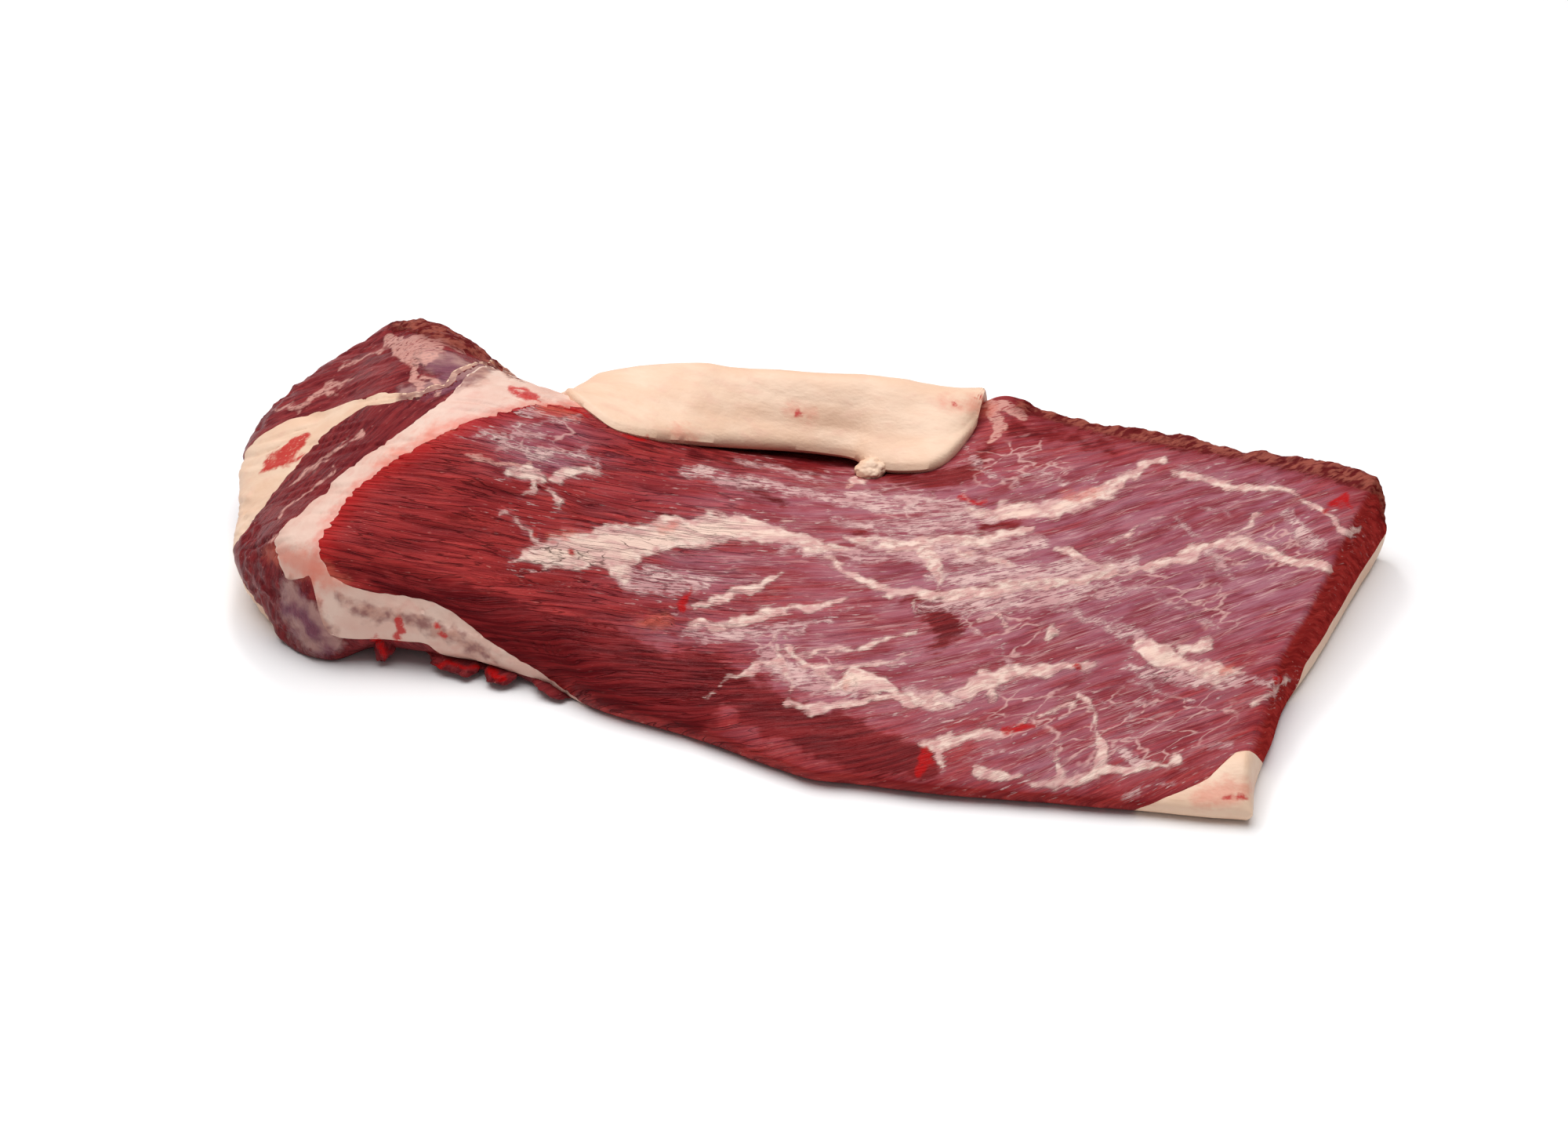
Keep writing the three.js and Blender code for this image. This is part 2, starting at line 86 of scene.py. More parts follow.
# How each side rounds off: reach above and below its widest point.
ROUNDING = {"front": (20, 8), "flat_end": (6, 3), "back": (8, 10), "point_end": (30, 22)}
WIDEST_AT = {"flat_end": 6, "back": 20, "point_end": 27}
FRONT_WIDEST_AT = [-210, -184, -170, -150, -128, -100, -80, -50, 220]
FRONT_WIDEST_Z = [22, 14, 16, 20, 15, 11, 9, 8, 7]
LIFTED_FROM, LIFTED_TO, LIFTED_REACH = -178, -88, 40

# Where the layers come to light on the upper face.
FLAT_MUSCLE_LINE = [
    (-184, -110), (-182, -62), (-177, -42), (-165, -26), (-148, -9), (-136, 4), (-118, 25),
    (-100, 36), (-88, 60), (-84, 130),
]
SEAM_LINE = [
    (-210, -110), (-207, -70), (-198, -55), (-190, -34), (-179, -22), (-166, -7), (-157, 6),
    (-154, 18), (-152, 40), (-146, 130),
]
POINT_MUSCLE_LINE = [
    (-300, -50), (-250, -46), (-235, -41), (-229, -30), (-224, -13), (-217, 3), (-208, 11), (-196, 15),
    (-180, 11), (-170, 11), (-159, 18), (-155, 40), (-149, 130),
]
CAP_LINE = [
    (-330, 30), (-250, 29), (-229, 30), (-210, 25), (-191, 19), (-178, 15), (-170, 15),
    (-162, 21), (-157, 40), (-151, 130),
]
CAP_BORDER = [
    (270, -6), (226, -6), (212, -18), (205, -60), (192, -82), (140, -90), (60, -95), (0, -84),
    (-100, -62), (-170, -36), (-235, -22), (-330, -18),
]
CAP_CORNER = [(240, -68), (207, -79), (200, -92), (172, -118)]
CAP_THICKNESS = 11
OUTER_LEAN_THICKNESS = 16
# Heights of the seam's upper and lower face inside the block.
MUSCLE_FLOOR_AT = [-190, -174, -156, -136, -122, -106, -84, -60, 0]
MUSCLE_FLOOR_Z = [52, 42, 36, 34, 29, 19, 10, 0, -20]
SEAM_FLOOR_AT = [-206, -196, -188, -184, -180, -176, -165, -144, -134, -128, -117, -92, -80, 0]
SEAM_FLOOR_Z = [40, 37, 40, 41, 28, 18, 15, 15, 15, 8, 7, 6, 5, -24]
# How steeply a layer goes down behind the line where it comes to light.
DIVE = 1.1
# Width over which the cap thins out under the lean, and the gap left between two tissues.
CAP_TAPER, GAP = 13, 0.06

FLAP_FROM, FLAP_TO, FLAP_THICKNESS = -124, 63, 14
LIP_AT = [-124, -117, -112, -104, -95, -86, -78, -70, -56, -37, -18, 2, 12, 20, 30, 42, 50, 57, 63]
LIP_Y = [64, 55, 45, 37, 32, 29, 31, 35, 44, 58, 68, 74, 74, 69, 67, 66, 68, 78, 100]
LIP_LIFT_AT, LIP_LIFT = [-124, -70, -56, -37, -18, 12, 24, 34, 63], [0, 0, 1.5, 3, 4, 4, 2, 1, 1]
CROWN_AT = [-124, -117, -110, -105, -88, -61, -50, -26, -8, 26, 43, 63]
CROWN_Z = [46, 54, 62, 67, 71, 72, 70, 68, 67, 66, 63, 60]
# How far the flap's two ends take to reach their full thickness, and how far its face swells.
FLAP_TAPERS, FLAP_SWELL = (24, 9), 2
# Share of the flap's width that rounds off at its lip and at its foot.
FLAP_RIM = 0.2

# A nub of fat at the flap's lip, and ragged tags of lean under the lifted edge: place, half sizes
# and tilt in degrees.
NUB = (22, 68, 40, (7, 7, 5), -8)
TAGS = [
    (-155, -78, 9, (4, 6, 8), 15), (-148, -71, 12, (5, 6, 8), -10), (-123, -76, 5, (13, 7, 3.5), 6),
    (-102, -79, 5, (7, 7, 4), -12), (-76, -82, 5, (11, 7, 4), 8),
]

# Mesh of the block: steps along, across, and around each rounded rim.
LENGTH_STEPS, WIDTH_STEPS, RIM_STEPS = 430, 196, 22
BLOCK_LENGTH, BLOCK_WIDTH = 500, 200

# The photograph's camera, in the drawing.
IMAGE_WIDTH, IMAGE_HEIGHT = 2000, 1451
CAMERA_AZIMUTH, CAMERA_ELEVATION = 15, 32
CAMERA_LENS, SENSOR_WIDTH = 70, 36
CAMERA_DISTANCE = 1320
CAMERA_TARGET = np.array([0.0, 0.0, 25.0])

# The studio: lamps as place, energy and width, in metres and watts.
WORLD_STRENGTH = 0.22
LAMPS = {"top": ((-0.2, 0.1, 2.0), 50, 2.5), "back": ((-0.5, 1.1, 1.5), 6, 0.35)}
FLOOR_REACH, FLOOR_COLOUR, FLOOR_ROUGHNESS = 6, (0.95, 0.94, 0.945, 1), 0.6

# Marks on the meat where the photograph shows them, in its pixels: each is a path of (x, y, width),
# and a width holds until the next one given.
FAT_MARKS = [
    [(652, 712, 3), (672, 706, 18), (700, 704, 40), (740, 699, 52), (780, 697, 54),
     (815, 690, 44), (850, 684)],
    [(850, 684, 42), (910, 674, 40), (964, 674, 34), (1009, 688, 22), (1064, 697, 10), (1090, 702, 4)],
    [(775, 705, 40), (800, 738, 10)],
    [(652, 601, 14), (675, 604, 20), (695, 609, 14)],
    [(680, 608, 12), (682, 622, 9), (665, 634, 4)],
    [(698, 620, 8), (706, 634), (714, 647, 6)],
    [(705, 609, 8), (727, 602, 10), (752, 601), (772, 603, 5)],
    [(640, 657, 3), (673, 673, 5), (690, 687, 8)],
    [(890, 770, 5), (920, 765, 9), (950, 752, 12), (975, 745, 13), (1000, 735, 5)],
    [(870, 802, 5), (900, 793, 11), (930, 798), (960, 788, 12), (990, 778), (1020, 775),
     (1050, 768), (1080, 762, 5)],
    [(900, 885, 3), (935, 864, 4), (960, 855, 15), (1000, 845, 10)],
    [(985, 815, 4), (990, 832), (1004, 850), (1009, 872), (1003, 892, 3)],
    [(1000, 815, 5), (1014, 835), (1036, 850, 8), (1056, 866, 9), (1062, 885, 5)],
    [(1030, 835, 6), (1060, 830, 8), (1090, 825), (1130, 815), (1170, 808, 4)],
    [(1045, 852, 7), (1080, 850), (1110, 845), (1150, 835), (1165, 832, 4)],
    [(1240, 652, 14), (1290, 650, 24), (1350, 648, 22), (1385, 637), (1420, 620, 16),
     (1450, 602, 14), (1482, 584, 8)],
    [(1080, 690, 8), (1120, 692, 13), (1160, 695), (1200, 690, 15), (1250, 690), (1290, 681, 10),
     (1320, 672, 6)],
    [(1050, 712, 7), (1080, 725, 10), (1110, 745), (1130, 755), (1180, 760, 13), (1210, 762),
     (1250, 755), (1300, 746)],
    [(1300, 746, 10), (1350, 745), (1400, 738), (1450, 728), (1500, 712, 13), (1540, 700, 15),
     (1580, 690, 14)],
    [(1580, 690, 12), (1620, 704), (1650, 712, 15), (1680, 718, 17), (1696, 726, 11)],
    [(1180, 700, 12), (1190, 715), (1195, 735, 8), (1198, 752, 2)],
    [(1345, 698, 7), (1365, 705, 12), (1385, 718), (1400, 725, 8), (1440, 722, 5)],
    [(1210, 702, 7), (1250, 710), (1290, 720, 4)],
    [(1400, 695, 4), (1440, 680, 6), (1480, 660, 4)],
    [(1560, 690, 7), (1590, 670, 9), (1615, 655, 6)],
    [(1500, 600, 6), (1550, 615, 10), (1600, 622, 11), (1650, 632, 9), (1680, 645, 7),
     (1700, 665), (1730, 680, 10)],
    [(1250, 790, 5), (1275, 785, 6), (1281, 796, 4)],
    [(1250, 862, 12), (1300, 855, 15), (1370, 850), (1397, 848, 12)],
    [(1448, 823, 16), (1470, 830, 30), (1490, 840, 26), (1520, 850, 20), (1550, 857, 22), (1585, 857, 6)],
    [(1505, 828, 10), (1540, 822, 14)],
    [(1000, 897, 8), (1040, 904, 12), (1080, 896), (1130, 890, 10), (1170, 895), (1212, 902, 8)],
    [(1068, 870, 16), (1085, 868, 30), (1120, 872, 26), (1136, 880, 12)],
    [(1135, 887, 11), (1170, 891), (1210, 885), (1235, 884, 26), (1256, 874, 20), (1280, 866, 8)],
    [(1180, 952, 13), (1200, 955, 16), (1215, 945), (1240, 938, 12), (1290, 930, 5)],
    [(1195, 960, 10), (1200, 982, 3)],
    [(1300, 922, 4), (1340, 910, 6), (1368, 898, 3)],
    [(1378, 886, 4), (1392, 898, 8), (1397, 915, 5), (1399, 935, 8), (1408, 956, 12),
     (1404, 972, 14), (1400, 987, 7)],
    [(1245, 985, 12), (1270, 990, 16), (1300, 988, 10)],
    [(1310, 1000, 8), (1340, 1000, 12), (1352, 990, 10), (1346, 972, 5), (1352, 950, 2)],
    [(1350, 1000, 12), (1380, 990, 14), (1400, 985), (1440, 985, 10), (1480, 975), (1502, 964, 14)],
    [(1600, 895, 5), (1620, 885, 9), (1642, 868, 6)],
    [(1165, 772, 5), (1168, 780, 8)],
    [(1262, 885, 9), (1267, 889, 9)],
    [(1337, 806, 15), (1342, 808, 15)],
    [(1100, 606, 12), (1090, 614, 6), (1083, 620, 4)],
]
# Torn veils of thin fat.
VEIL_MARKS = [
    [(612, 553, 10), (640, 558, 12), (670, 556), (692, 556, 8)],
    [(662, 522, 12), (690, 525), (700, 532, 6)],
    [(650, 545, 7), (690, 540), (740, 535)],
    [(640, 565, 8), (665, 572, 12), (685, 580, 14), (720, 575, 10), (745, 572)],
    [(735, 573, 10), (755, 585), (772, 598, 6)],
    [(800, 735, 30), (850, 745, 36), (900, 742, 20)],
    [(870, 600, 14), (930, 612, 20), (990, 622, 16), (1050, 632)],
    [(940, 585, 8), (1000, 600, 12), (1060, 614, 8)],
    [(1045, 632, 12), (1110, 638, 22), (1160, 644, 26), (1215, 650, 30), (1260, 658, 26)],
    [(1060, 662, 10), (1120, 668, 18), (1180, 672, 26), (1240, 672, 16)],
    [(1110, 690, 24), (1180, 700, 34), (1250, 706, 34), (1310, 700, 18)],
    [(1230, 742, 12), (1300, 738, 26), (1380, 730, 30), (1450, 718, 16)],
    [(1000, 700, 14), (1080, 705, 22), (1160, 708, 26), (1250, 702, 20), (1330, 690)],
    [(870, 805, 16), (930, 812, 24), (1000, 800, 20), (1060, 790, 10)],
    [(1180, 772, 20), (1260, 768, 26), (1340, 762), (1420, 752, 20)],
    [(1320, 760, 8), (1370, 757), (1450, 755, 6)],
    [(1340, 770, 8), (1380, 785, 12), (1420, 800), (1450, 812, 20)],
    [(1440, 690, 4), (1500, 670, 3)],
    [(1500, 660, 5), (1520, 680, 6), (1540, 690)],
    [(1510, 640, 4), (1570, 655)],
    [(1050, 778, 5), (1100, 774), (1140, 770)],
    [(1240, 800, 5), (1260, 812), (1280, 830), (1293, 858)],
    [(1440, 850, 18), (1500, 865, 20), (1560, 868), (1625, 872, 12)],
    [(980, 840, 30), (1030, 870, 30), (1080, 876)],
    [(1150, 878, 10), (1180, 892, 26), (1220, 896, 20)],
    [(1430, 960, 18), (1460, 975)],
    [(1252, 972, 5), (1270, 958), (1310, 955), (1350, 960)],
    [(1400, 896, 5), (1450, 895), (1472, 900)],
    [(1435, 900, 6), (1440, 932)],
    [(1440, 870, 5), (1480, 880), (1520, 893)],
    [(1570, 950, 9), (1548, 956)],
    [(1430, 1020, 4), (1470, 1005), (1500, 998)],
    [(1545, 700, 14), (1550, 720, 18), (1570, 735, 8)],
    [(1460, 745, 5), (1475, 760), (1500, 775), (1540, 795), (1560, 803)],
    [(1640, 655, 14), (1665, 682, 24), (1690, 697, 12)],
    [(1225, 570, 5), (1262, 606, 8), (1300, 622)],
    [(1495, 590, 6), (1530, 600), (1560, 590, 4)],
    [(1180, 735, 14), (1230, 735, 20), (1300, 725), (1350, 722, 12)],
    [(1300, 600, 5), (1360, 620), (1400, 600, 4)],
]
# Bright red spots of blood, and pink patches in the fat.
STAIN_MARKS = [
    [(733, 702, 9), (734, 703, 9)],
    [(683, 679, 5), (687, 682, 4)],
    [(872, 770, 14), (880, 762, 9), (883, 750, 3)],
    [(1370, 848, 7), (1377, 850, 12)],
    [(1626, 866, 9), (1629, 871, 9)],
    [(1280, 928, 8), (1305, 926, 12), (1320, 930, 4)],
    [(1700, 640, 12), (1716, 634, 14), (1722, 645, 6)],
    [(1690, 655, 6), (1694, 652, 6)],
    [(1225, 637, 7), (1255, 636, 5)],
    [(1172, 966, 10), (1190, 970, 8)],
    [(340, 603, 8), (355, 588, 22), (375, 570, 24), (392, 556, 14)],
    [(656, 500, 9), (672, 503, 12), (690, 510, 7)],
    [(722, 521, 6), (738, 527, 9), (754, 536, 5)],
    [(795, 553, 5), (822, 558, 5)],
    [(1021, 525, 9), (1026, 530, 4)],
    [(1216, 514, 6), (1218, 518, 6)],
    [(1247, 508, 7), (1253, 512, 7)],
    [(555, 797, 7), (556, 803, 7)],
    [(562, 811, 8), (566, 813, 8)],
    [(507, 792, 12), (512, 808, 14), (508, 818, 8)],
    [(1555, 1014, 5), (1570, 1010, 6)],
    [(1580, 1008, 9), (1588, 1014, 7)],
    [(480, 815, 10), (492, 838, 12)],
    [(560, 845, 6), (610, 852, 5)],
    [(625, 855, 8), (645, 866, 12)],
    [(1172, 985, 12), (1180, 960, 16)],
]
BLUSH_MARKS = [
    [(535, 560, 14), (560, 548, 22), (585, 540, 8)],
    [(478, 590, 10), (500, 580, 14), (530, 568, 6)],
    [(345, 705, 20), (380, 715, 34), (415, 735, 30), (440, 742, 14)],
    [(690, 520, 16), (735, 528, 14)],
    [(845, 673, 14), (858, 672, 12)],
    [(700, 685, 10), (730, 680, 12)],
    [(1360, 632, 14), (1400, 628, 12)],
    [(1078, 862, 5), (1079, 880, 5)],
    [(1560, 853, 14), (1568, 853, 12)],
    [(865, 553, 18), (885, 560, 14)],
    [(1010, 522, 14), (1035, 530, 10)],
    [(1205, 512, 14), (1225, 520, 12)],
    [(1240, 515, 20), (1258, 520, 24)],
    [(1535, 1015, 30), (1570, 1010, 34), (1590, 1005, 20)],
    [(820, 793, 16), (850, 793, 18)],
]
# Dried brown edges.
DRY_MARKS = [
    [(1300, 516, 12), (1350, 528, 20), (1400, 540, 24), (1450, 550), (1560, 568, 26), (1700, 597),
     (1765, 622, 24)],
    [(1765, 625, 18), (1770, 660, 14)],
    [(505, 414, 12), (535, 414, 22), (565, 425, 20), (600, 440, 22), (645, 470, 16), (665, 482, 8)],
]
# Fat with a net of fine dark cracks.
CRAZE_MARKS = [
    [(690, 705, 30), (760, 712, 26)],
    [(800, 694, 16), (842, 694)],
    [(905, 684, 10), (935, 684)],
    [(1460, 860, 16), (1492, 862)],
]
# Bare dark lean between the films, and painted shade: in the slot under the flap's lip, on the lean under
# the flap and in a line below the dried edge. Two wide marks darken the lower front.
DARK_LEAN_AND_SHADE_MARKS = [
    [(880, 578, 10), (960, 588, 14), (1040, 594, 18), (1085, 592, 14)],
    [(1085, 592, 14), (1130, 604, 22), (1190, 614, 24), (1240, 600, 20), (1262, 566, 12)],
    [(1190, 772, 34), (1212, 800, 40), (1190, 826, 16)],
    [(480, 740, 20), (600, 780, 60), (720, 830, 100), (880, 890, 90)],
    [(890, 850, 40), (990, 915, 56), (1090, 950, 66), (1180, 975, 40)],
    [(1255, 672, 14), (1300, 673, 8)],
    [(1095, 678, 12), (1130, 690, 8)],
    [(1150, 765, 10), (1240, 772, 6)],
    [(930, 615, 10), (1000, 640, 8)],
    [(1290, 545, 18), (1330, 552, 14), (1420, 572, 10)],
]
# Crumbly edges that are not dried.
ROUGH_MARKS = [
    [(318, 640, 24), (322, 700, 34), (340, 770, 40), (375, 830, 30)],
    [(322, 540, 22), (345, 520, 12), (400, 474, 8)],
    [(700, 505, 8), (760, 540, 10)],
]
# Greyish membrane, and nets of thin strands.
GREY_MARKS = [
    [(368, 745, 20), (376, 775, 44), (392, 805, 46), (410, 825, 30)],
    [(398, 775, 20), (406, 800, 30), (428, 824, 22)],
    [(430, 762, 10), (470, 782, 20), (515, 786, 14), (570, 808, 20), (630, 840, 12)],
    [(545, 458, 30), (575, 468, 40), (600, 478, 30), (625, 462, 20)],
    [(515, 502, 20), (560, 492, 26), (610, 470, 22)],
    [(500, 412, 8), (530, 404, 10), (552, 402, 6)],
]
NET_MARKS = [
    [(1290, 905, 60), (1400, 930, 110), (1500, 930, 90), (1550, 905, 50)],
    [(980, 830, 50), (1030, 860, 60), (1070, 850, 30)],
    [(1265, 600, 60), (1310, 590, 70), (1350, 600, 40)],
    [(1130, 640, 40), (1220, 650, 50), (1290, 660, 30)],
    [(1240, 780, 40), (1300, 800, 60), (1290, 840, 40)],
    [(1480, 740, 40), (1560, 780, 60)],
    [(1560, 700, 50), (1640, 700, 70)],
    [(650, 560, 40), (720, 560, 50)],
]
# Raised drops of fat: (x, y, radius) in pixels and height in millimetres.
DROPS = [
    (832, 792, 9, 1.6), (851, 792, 9, 1.6), (1100, 870, 30, 1.2), (1265, 887, 8, 1.6),
    (1340, 808, 8, 1.8), (1168, 776, 7, 1.4), (1278, 787, 8, 1.2), (683, 610, 16, 0.8),
    (1255, 875, 20, 1.2), (1470, 832, 22, 1.0), (1375, 850, 7, 1.2), (1628, 868, 7, 1.4),
]
# Thin pale threads in the lean.
THREAD_MARKS = [
    [(498, 440, 8), (515, 445, 24), (540, 452, 26), (560, 448, 10)],
    [(528, 470, 10), (536, 490, 12), (532, 505, 8)],
    [(546, 480, 8), (560, 500, 8)],
    [(372, 618, 3), (400, 596, 4), (440, 565, 4), (465, 550, 3)],
    [(352, 660, 3), (385, 632, 4), (430, 600, 3)],
    [(340, 690, 3), (370, 668, 4), (400, 642, 3)],
    [(380, 520, 3), (420, 492, 5), (455, 480, 3)],
    [(350, 530, 3), (395, 508, 4), (430, 500, 3)],
    [(500, 428, 10), (512, 448, 20), (520, 462, 12)],
    [(530, 432, 14), (560, 436, 16), (590, 448, 8)],
    [(430, 470, 3), (470, 452, 4), (490, 445, 3)],
    [(1120, 600, 6), (1083, 618, 5)],
    [(600, 580, 3), (640, 590, 4), (680, 592, 3)],
    [(1252, 512, 14), (1285, 520, 18), (1310, 534, 8)],
    [(1262, 528, 12), (1275, 545, 14), (1262, 560, 6)],
]
# Silverskin: (x, y, reach across, reach up, density).
FILM = [
    (1330, 760, 330, 210, 0.6), (1120, 880, 200, 70, 0.35),
    (690, 560, 70, 30, 0.7), (700, 590, 60, 14, 0.8), (900, 730, 90, 30, 0.7), (960, 815, 120, 26, 0.9),
    (1100, 640, 220, 40, 0.7), (1200, 720, 200, 50, 0.8), (1330, 760, 160, 50, 0.7),
    (1400, 650, 160, 60, 0.7), (1500, 760, 160, 60, 0.9), (1620, 700, 90, 110, 1.0),
    (1560, 620, 120, 40, 0.5), (1330, 975, 90, 30, 0.8), (1480, 920, 120, 50, 0.5),
    (1150, 830, 150, 30, 0.35), (1320, 880, 160, 30, 0.5), (1040, 880, 60, 50, 0.6),
]
# How far from a mark its distance is still measured, in pixels.
NO_MARK = 60.0


def camera_axes():
    """The camera's directions to the right, up and back."""
    turn, tilt = math.radians(CAMERA_AZIMUTH), math.radians(CAMERA_ELEVATION)
    back = np.array([
        math.sin(turn) * math.cos(tilt), -math.cos(turn) * math.cos(tilt), math.sin(tilt)
    ])
    right = np.array([math.cos(turn), math.sin(turn), 0])
    return right, np.cross(back, right), back


def in_photo(points):
    """Pixel place of drawing points in the photograph."""
    right, up, back = camera_axes()
    away = points - (CAMERA_TARGET + back * CAMERA_DISTANCE)
    scale = CAMERA_LENS / SENSOR_WIDTH * IMAGE_WIDTH / -(away @ back)
    return np.stack([
        IMAGE_WIDTH / 2 + (away @ right) * scale, IMAGE_HEIGHT / 2 - (away @ up) * scale
    ], -1)


def mark_distance(pixels, marks):
    """Distance in pixels to the nearest mark's edge, below 0 inside a mark."""
    nearest = np.full(len(pixels), NO_MARK)
    for mark in marks:
        width = mark[0][2]
        for start, end in zip(mark, mark[1:]):
            end_width = end[2] if len(end) == 3 else width
            a, b = np.array(start[:2], float), np.array(end[:2], float)
            near = np.flatnonzero(np.abs(pixels - (a + b) / 2).max(1) < np.abs(b - a).max() / 2 + NO_MARK)
            away, span = pixels[near] - a, b - a
            share = np.clip(away @ span / (span @ span), 0, 1)
            half = (width + (end_width - width) * share) / 2
            distance = np.hypot(*(away - share[:, None] * span).T) - half
            nearest[near] = np.minimum(nearest[near], distance)
            width = end_width
    return nearest


def film_density(pixels):
    """How much silverskin covers a pixel, from 0 to 1."""
    clear = 1.0
    for x, y, reach_x, reach_y, density in FILM:
        far = ((pixels[:, 0] - x) / reach_x) ** 2 + ((pixels[:, 1] - y) / reach_y) ** 2
        clear = clear * (1 - density * np.exp(-far))
    return 1 - clear


def drop_height(pixels):
    """How far the drops of fat stand out, in millimetres."""
    height = np.zeros(len(pixels))
    for x, y, radius, lift in DROPS:
        far = np.hypot((pixels[:, 0] - x) / radius, (pixels[:, 1] - y) / radius / 0.8)
        height = np.maximum(height, lift * np.sqrt(np.clip(1 - far**2, 0, 1)))
    return height


def hashed(ix, iy, iz, seed):
    """A number of 32 mixed bits for each cell of a grid."""
    h = (
        ix.astype(np.uint32) * np.uint32(374761393)
        + iy.astype(np.uint32) * np.uint32(668265263)
        + iz.astype(np.uint32) * np.uint32(2147483647)
        + np.uint32((seed * 2654435761) % 2**32)
    )
    h = (h ^ (h >> np.uint32(13))) * np.uint32(1274126177)
    h = (h ^ (h >> np.uint32(15))) * np.uint32(2246822519)
    return h ^ (h >> np.uint32(16))


def noise(x, y, z=0.0, seed=0):
    """Gradient noise from -1 to 1."""
    x, y, z = np.broadcast_arrays(np.asarray(x, float), y, z)
    cell = [np.floor(a).astype(np.int64) for a in (x, y, z)]
    part = [a - c for a, c in zip((x, y, z), cell)]
    ease = [p**3 * (p * (p * 6 - 15) + 10) for p in part]
    total = np.zeros(x.shape)
    for corner in range(8):
        step = [(corner >> k) & 1 for k in range(3)]
        h = hashed(cell[0] + step[0], cell[1] + step[1], cell[2] + step[2], seed)
        share = np.ones(x.shape)
        dot = np.zeros(x.shape)
        for k in range(3):
            share = share * (ease[k] if step[k] else 1 - ease[k])
            direction = ((h >> np.uint32(8 * k)) & np.uint32(255)).astype(float) / 127.5 - 1
            dot = dot + direction * (part[k] - step[k])
        total += share * dot
    return total * 1.3


def layered_noise(x, y, z=0.0, seed=0, layers=3):
    """Noise with ever finer layers, each of half the strength."""
    total, size = 0.0, 1.0
    for k in range(layers):
        total = total + size * noise(x * 2**k, y * 2**k, np.asarray(z) * 2**k, seed + k)
        size *= 0.5
    return total / 1.4


def ease_between(value, low, high):
    """0 at low and 1 at high, with a soft start and end."""
    t = np.clip((value - low) / (high - low), 0, 1)
    return t * t * (3 - 2 * t)


def smooth(nodes, values, at):
    """Cubic steps through values at increasing nodes, with the slopes of the neighbours."""
    nodes = np.asarray(nodes, float)
    values = np.asarray(values, float)
    last = len(nodes) - 1
    x = np.clip(at, nodes[0], nodes[last])
    i = np.clip(np.searchsorted(nodes, x, side="right") - 1, 0, last - 1)
    before = np.maximum(np.arange(last + 1) - 1, 0)
    after = np.minimum(np.arange(last + 1) + 1, last)
    gaps = nodes[after] - nodes[before]
    slopes = ((values[after] - values[before]).T / gaps).T

    def pick(table, k):
        return table[k] if table.ndim == 1 else table[k, np.arange(len(x))]

    span = nodes[i + 1] - nodes[i]
    t = (x - nodes[i]) / span
    rest = 1 - t
    return (
        pick(values, i) * (1 + 2 * t) * rest**2
        + pick(slopes, i) * span * t * rest**2
        + pick(values, i + 1) * t**2 * (3 - 2 * t)
        - pick(slopes, i + 1) * span * t**2 * rest
    )


def line_through(points):
    """A smooth line through points, read by its share of the way along."""
    points = np.asarray(points, float)
    lengths = np.hypot(*np.diff(points, axis=0).T)
    shares = np.concatenate([[0], np.cumsum(lengths)]) / lengths.sum()

    def place_at(share):
        return np.stack([smooth(shares, points[:, k], share) for k in range(points.shape[1])], -1)

    return place_at


front_edge = line_through(FRONT_EDGE)
back_edge = line_through(BACK_EDGE)
point_end = line_through(POINT_END)
flat_end = line_through(FLAT_END)


def plan_point(u, v):
    """A place in plan: u runs from the point end to the flat end, v from front to back."""
    u, v = np.broadcast_arrays(u, v)
    shape = u.shape
    u, v = u.ravel(), v.ravel()
    a, b = u[:, None], v[:, None]
    lengthwise = front_edge(u) * (1 - b) + back_edge(u) * b
    crosswise = point_end(v) * (1 - a) + flat_end(v) * a
    near = front_edge(0 * u) * (1 - a) + front_edge(0 * u + 1) * a
    far = back_edge(0 * u) * (1 - a) + back_edge(0 * u + 1) * a
    return (lengthwise + crosswise - near * (1 - b) - far * b).reshape(*shape, 2)


def upper_height(x, y):
    """Height of the upper face over a place in plan."""
    x, y = np.broadcast_arrays(np.asarray(x, float), y)
    shape = x.shape
    x, y = x.ravel(), y.ravel()
    rows = np.stack([smooth(ACROSS, row, y) for row in UPPER_HEIGHTS])
    height = smooth(ALONG, rows, x)
    for lump_x, lump_y, reach, lift in LUMPS:
        height = height + lift * np.exp(-((x - lump_x) ** 2 + (y - lump_y) ** 2) / reach**2)
    return height.reshape(shape)


def rise(distance, reach):
    """Quarter ellipse: 0 on the rim, 1 from the reach inwards."""
    left = 1 - np.clip(distance / reach, 0, 1)
    return np.sqrt(1 - left * left)


def lifted_reach(x):
    """How far back the front edge is lifted off the table."""
    middle, half = (LIFTED_FROM + LIFTED_TO) / 2, (LIFTED_TO - LIFTED_FROM) / 2
    share = ease_between(half - np.abs(x - middle), 0, half / 2)
    return ROUNDING["front"][1] + share * (LIFTED_REACH - ROUNDING["front"][1])


def block_sheets(u, v):
    """Plan place and the heights of the upper and the lower face."""
    p = plan_point(u, v)
    x, y = p[..., 0], p[..., 1]
    away = {
        "front": plan_point(u, 0 * v),
        "back": plan_point(u, 0 * v + 1),
        "point_end": plan_point(0 * u, v),
        "flat_end": plan_point(0 * u + 1, v),
    }
    weights = widest = 0
    above = below = 1
    for side, rim in away.items():
        distance = np.hypot(*np.moveaxis(p - rim, -1, 0))
        weight = 1 / (distance + 1) ** 2
        level = (
            smooth(FRONT_WIDEST_AT, FRONT_WIDEST_Z, x) if side == "front" else WIDEST_AT[side]
        )
        weights = weights + weight
        widest = widest + weight * level
        above = above * rise(distance, ROUNDING[side][0])
        below = below * rise(distance, lifted_reach(x) if side == "front" else ROUNDING[side][1])
    top = upper_height(x, y)
    widest = np.minimum(widest / weights, 0.7 * top)
    return x, y, widest + (top - widest) * above, widest * (1 - below)


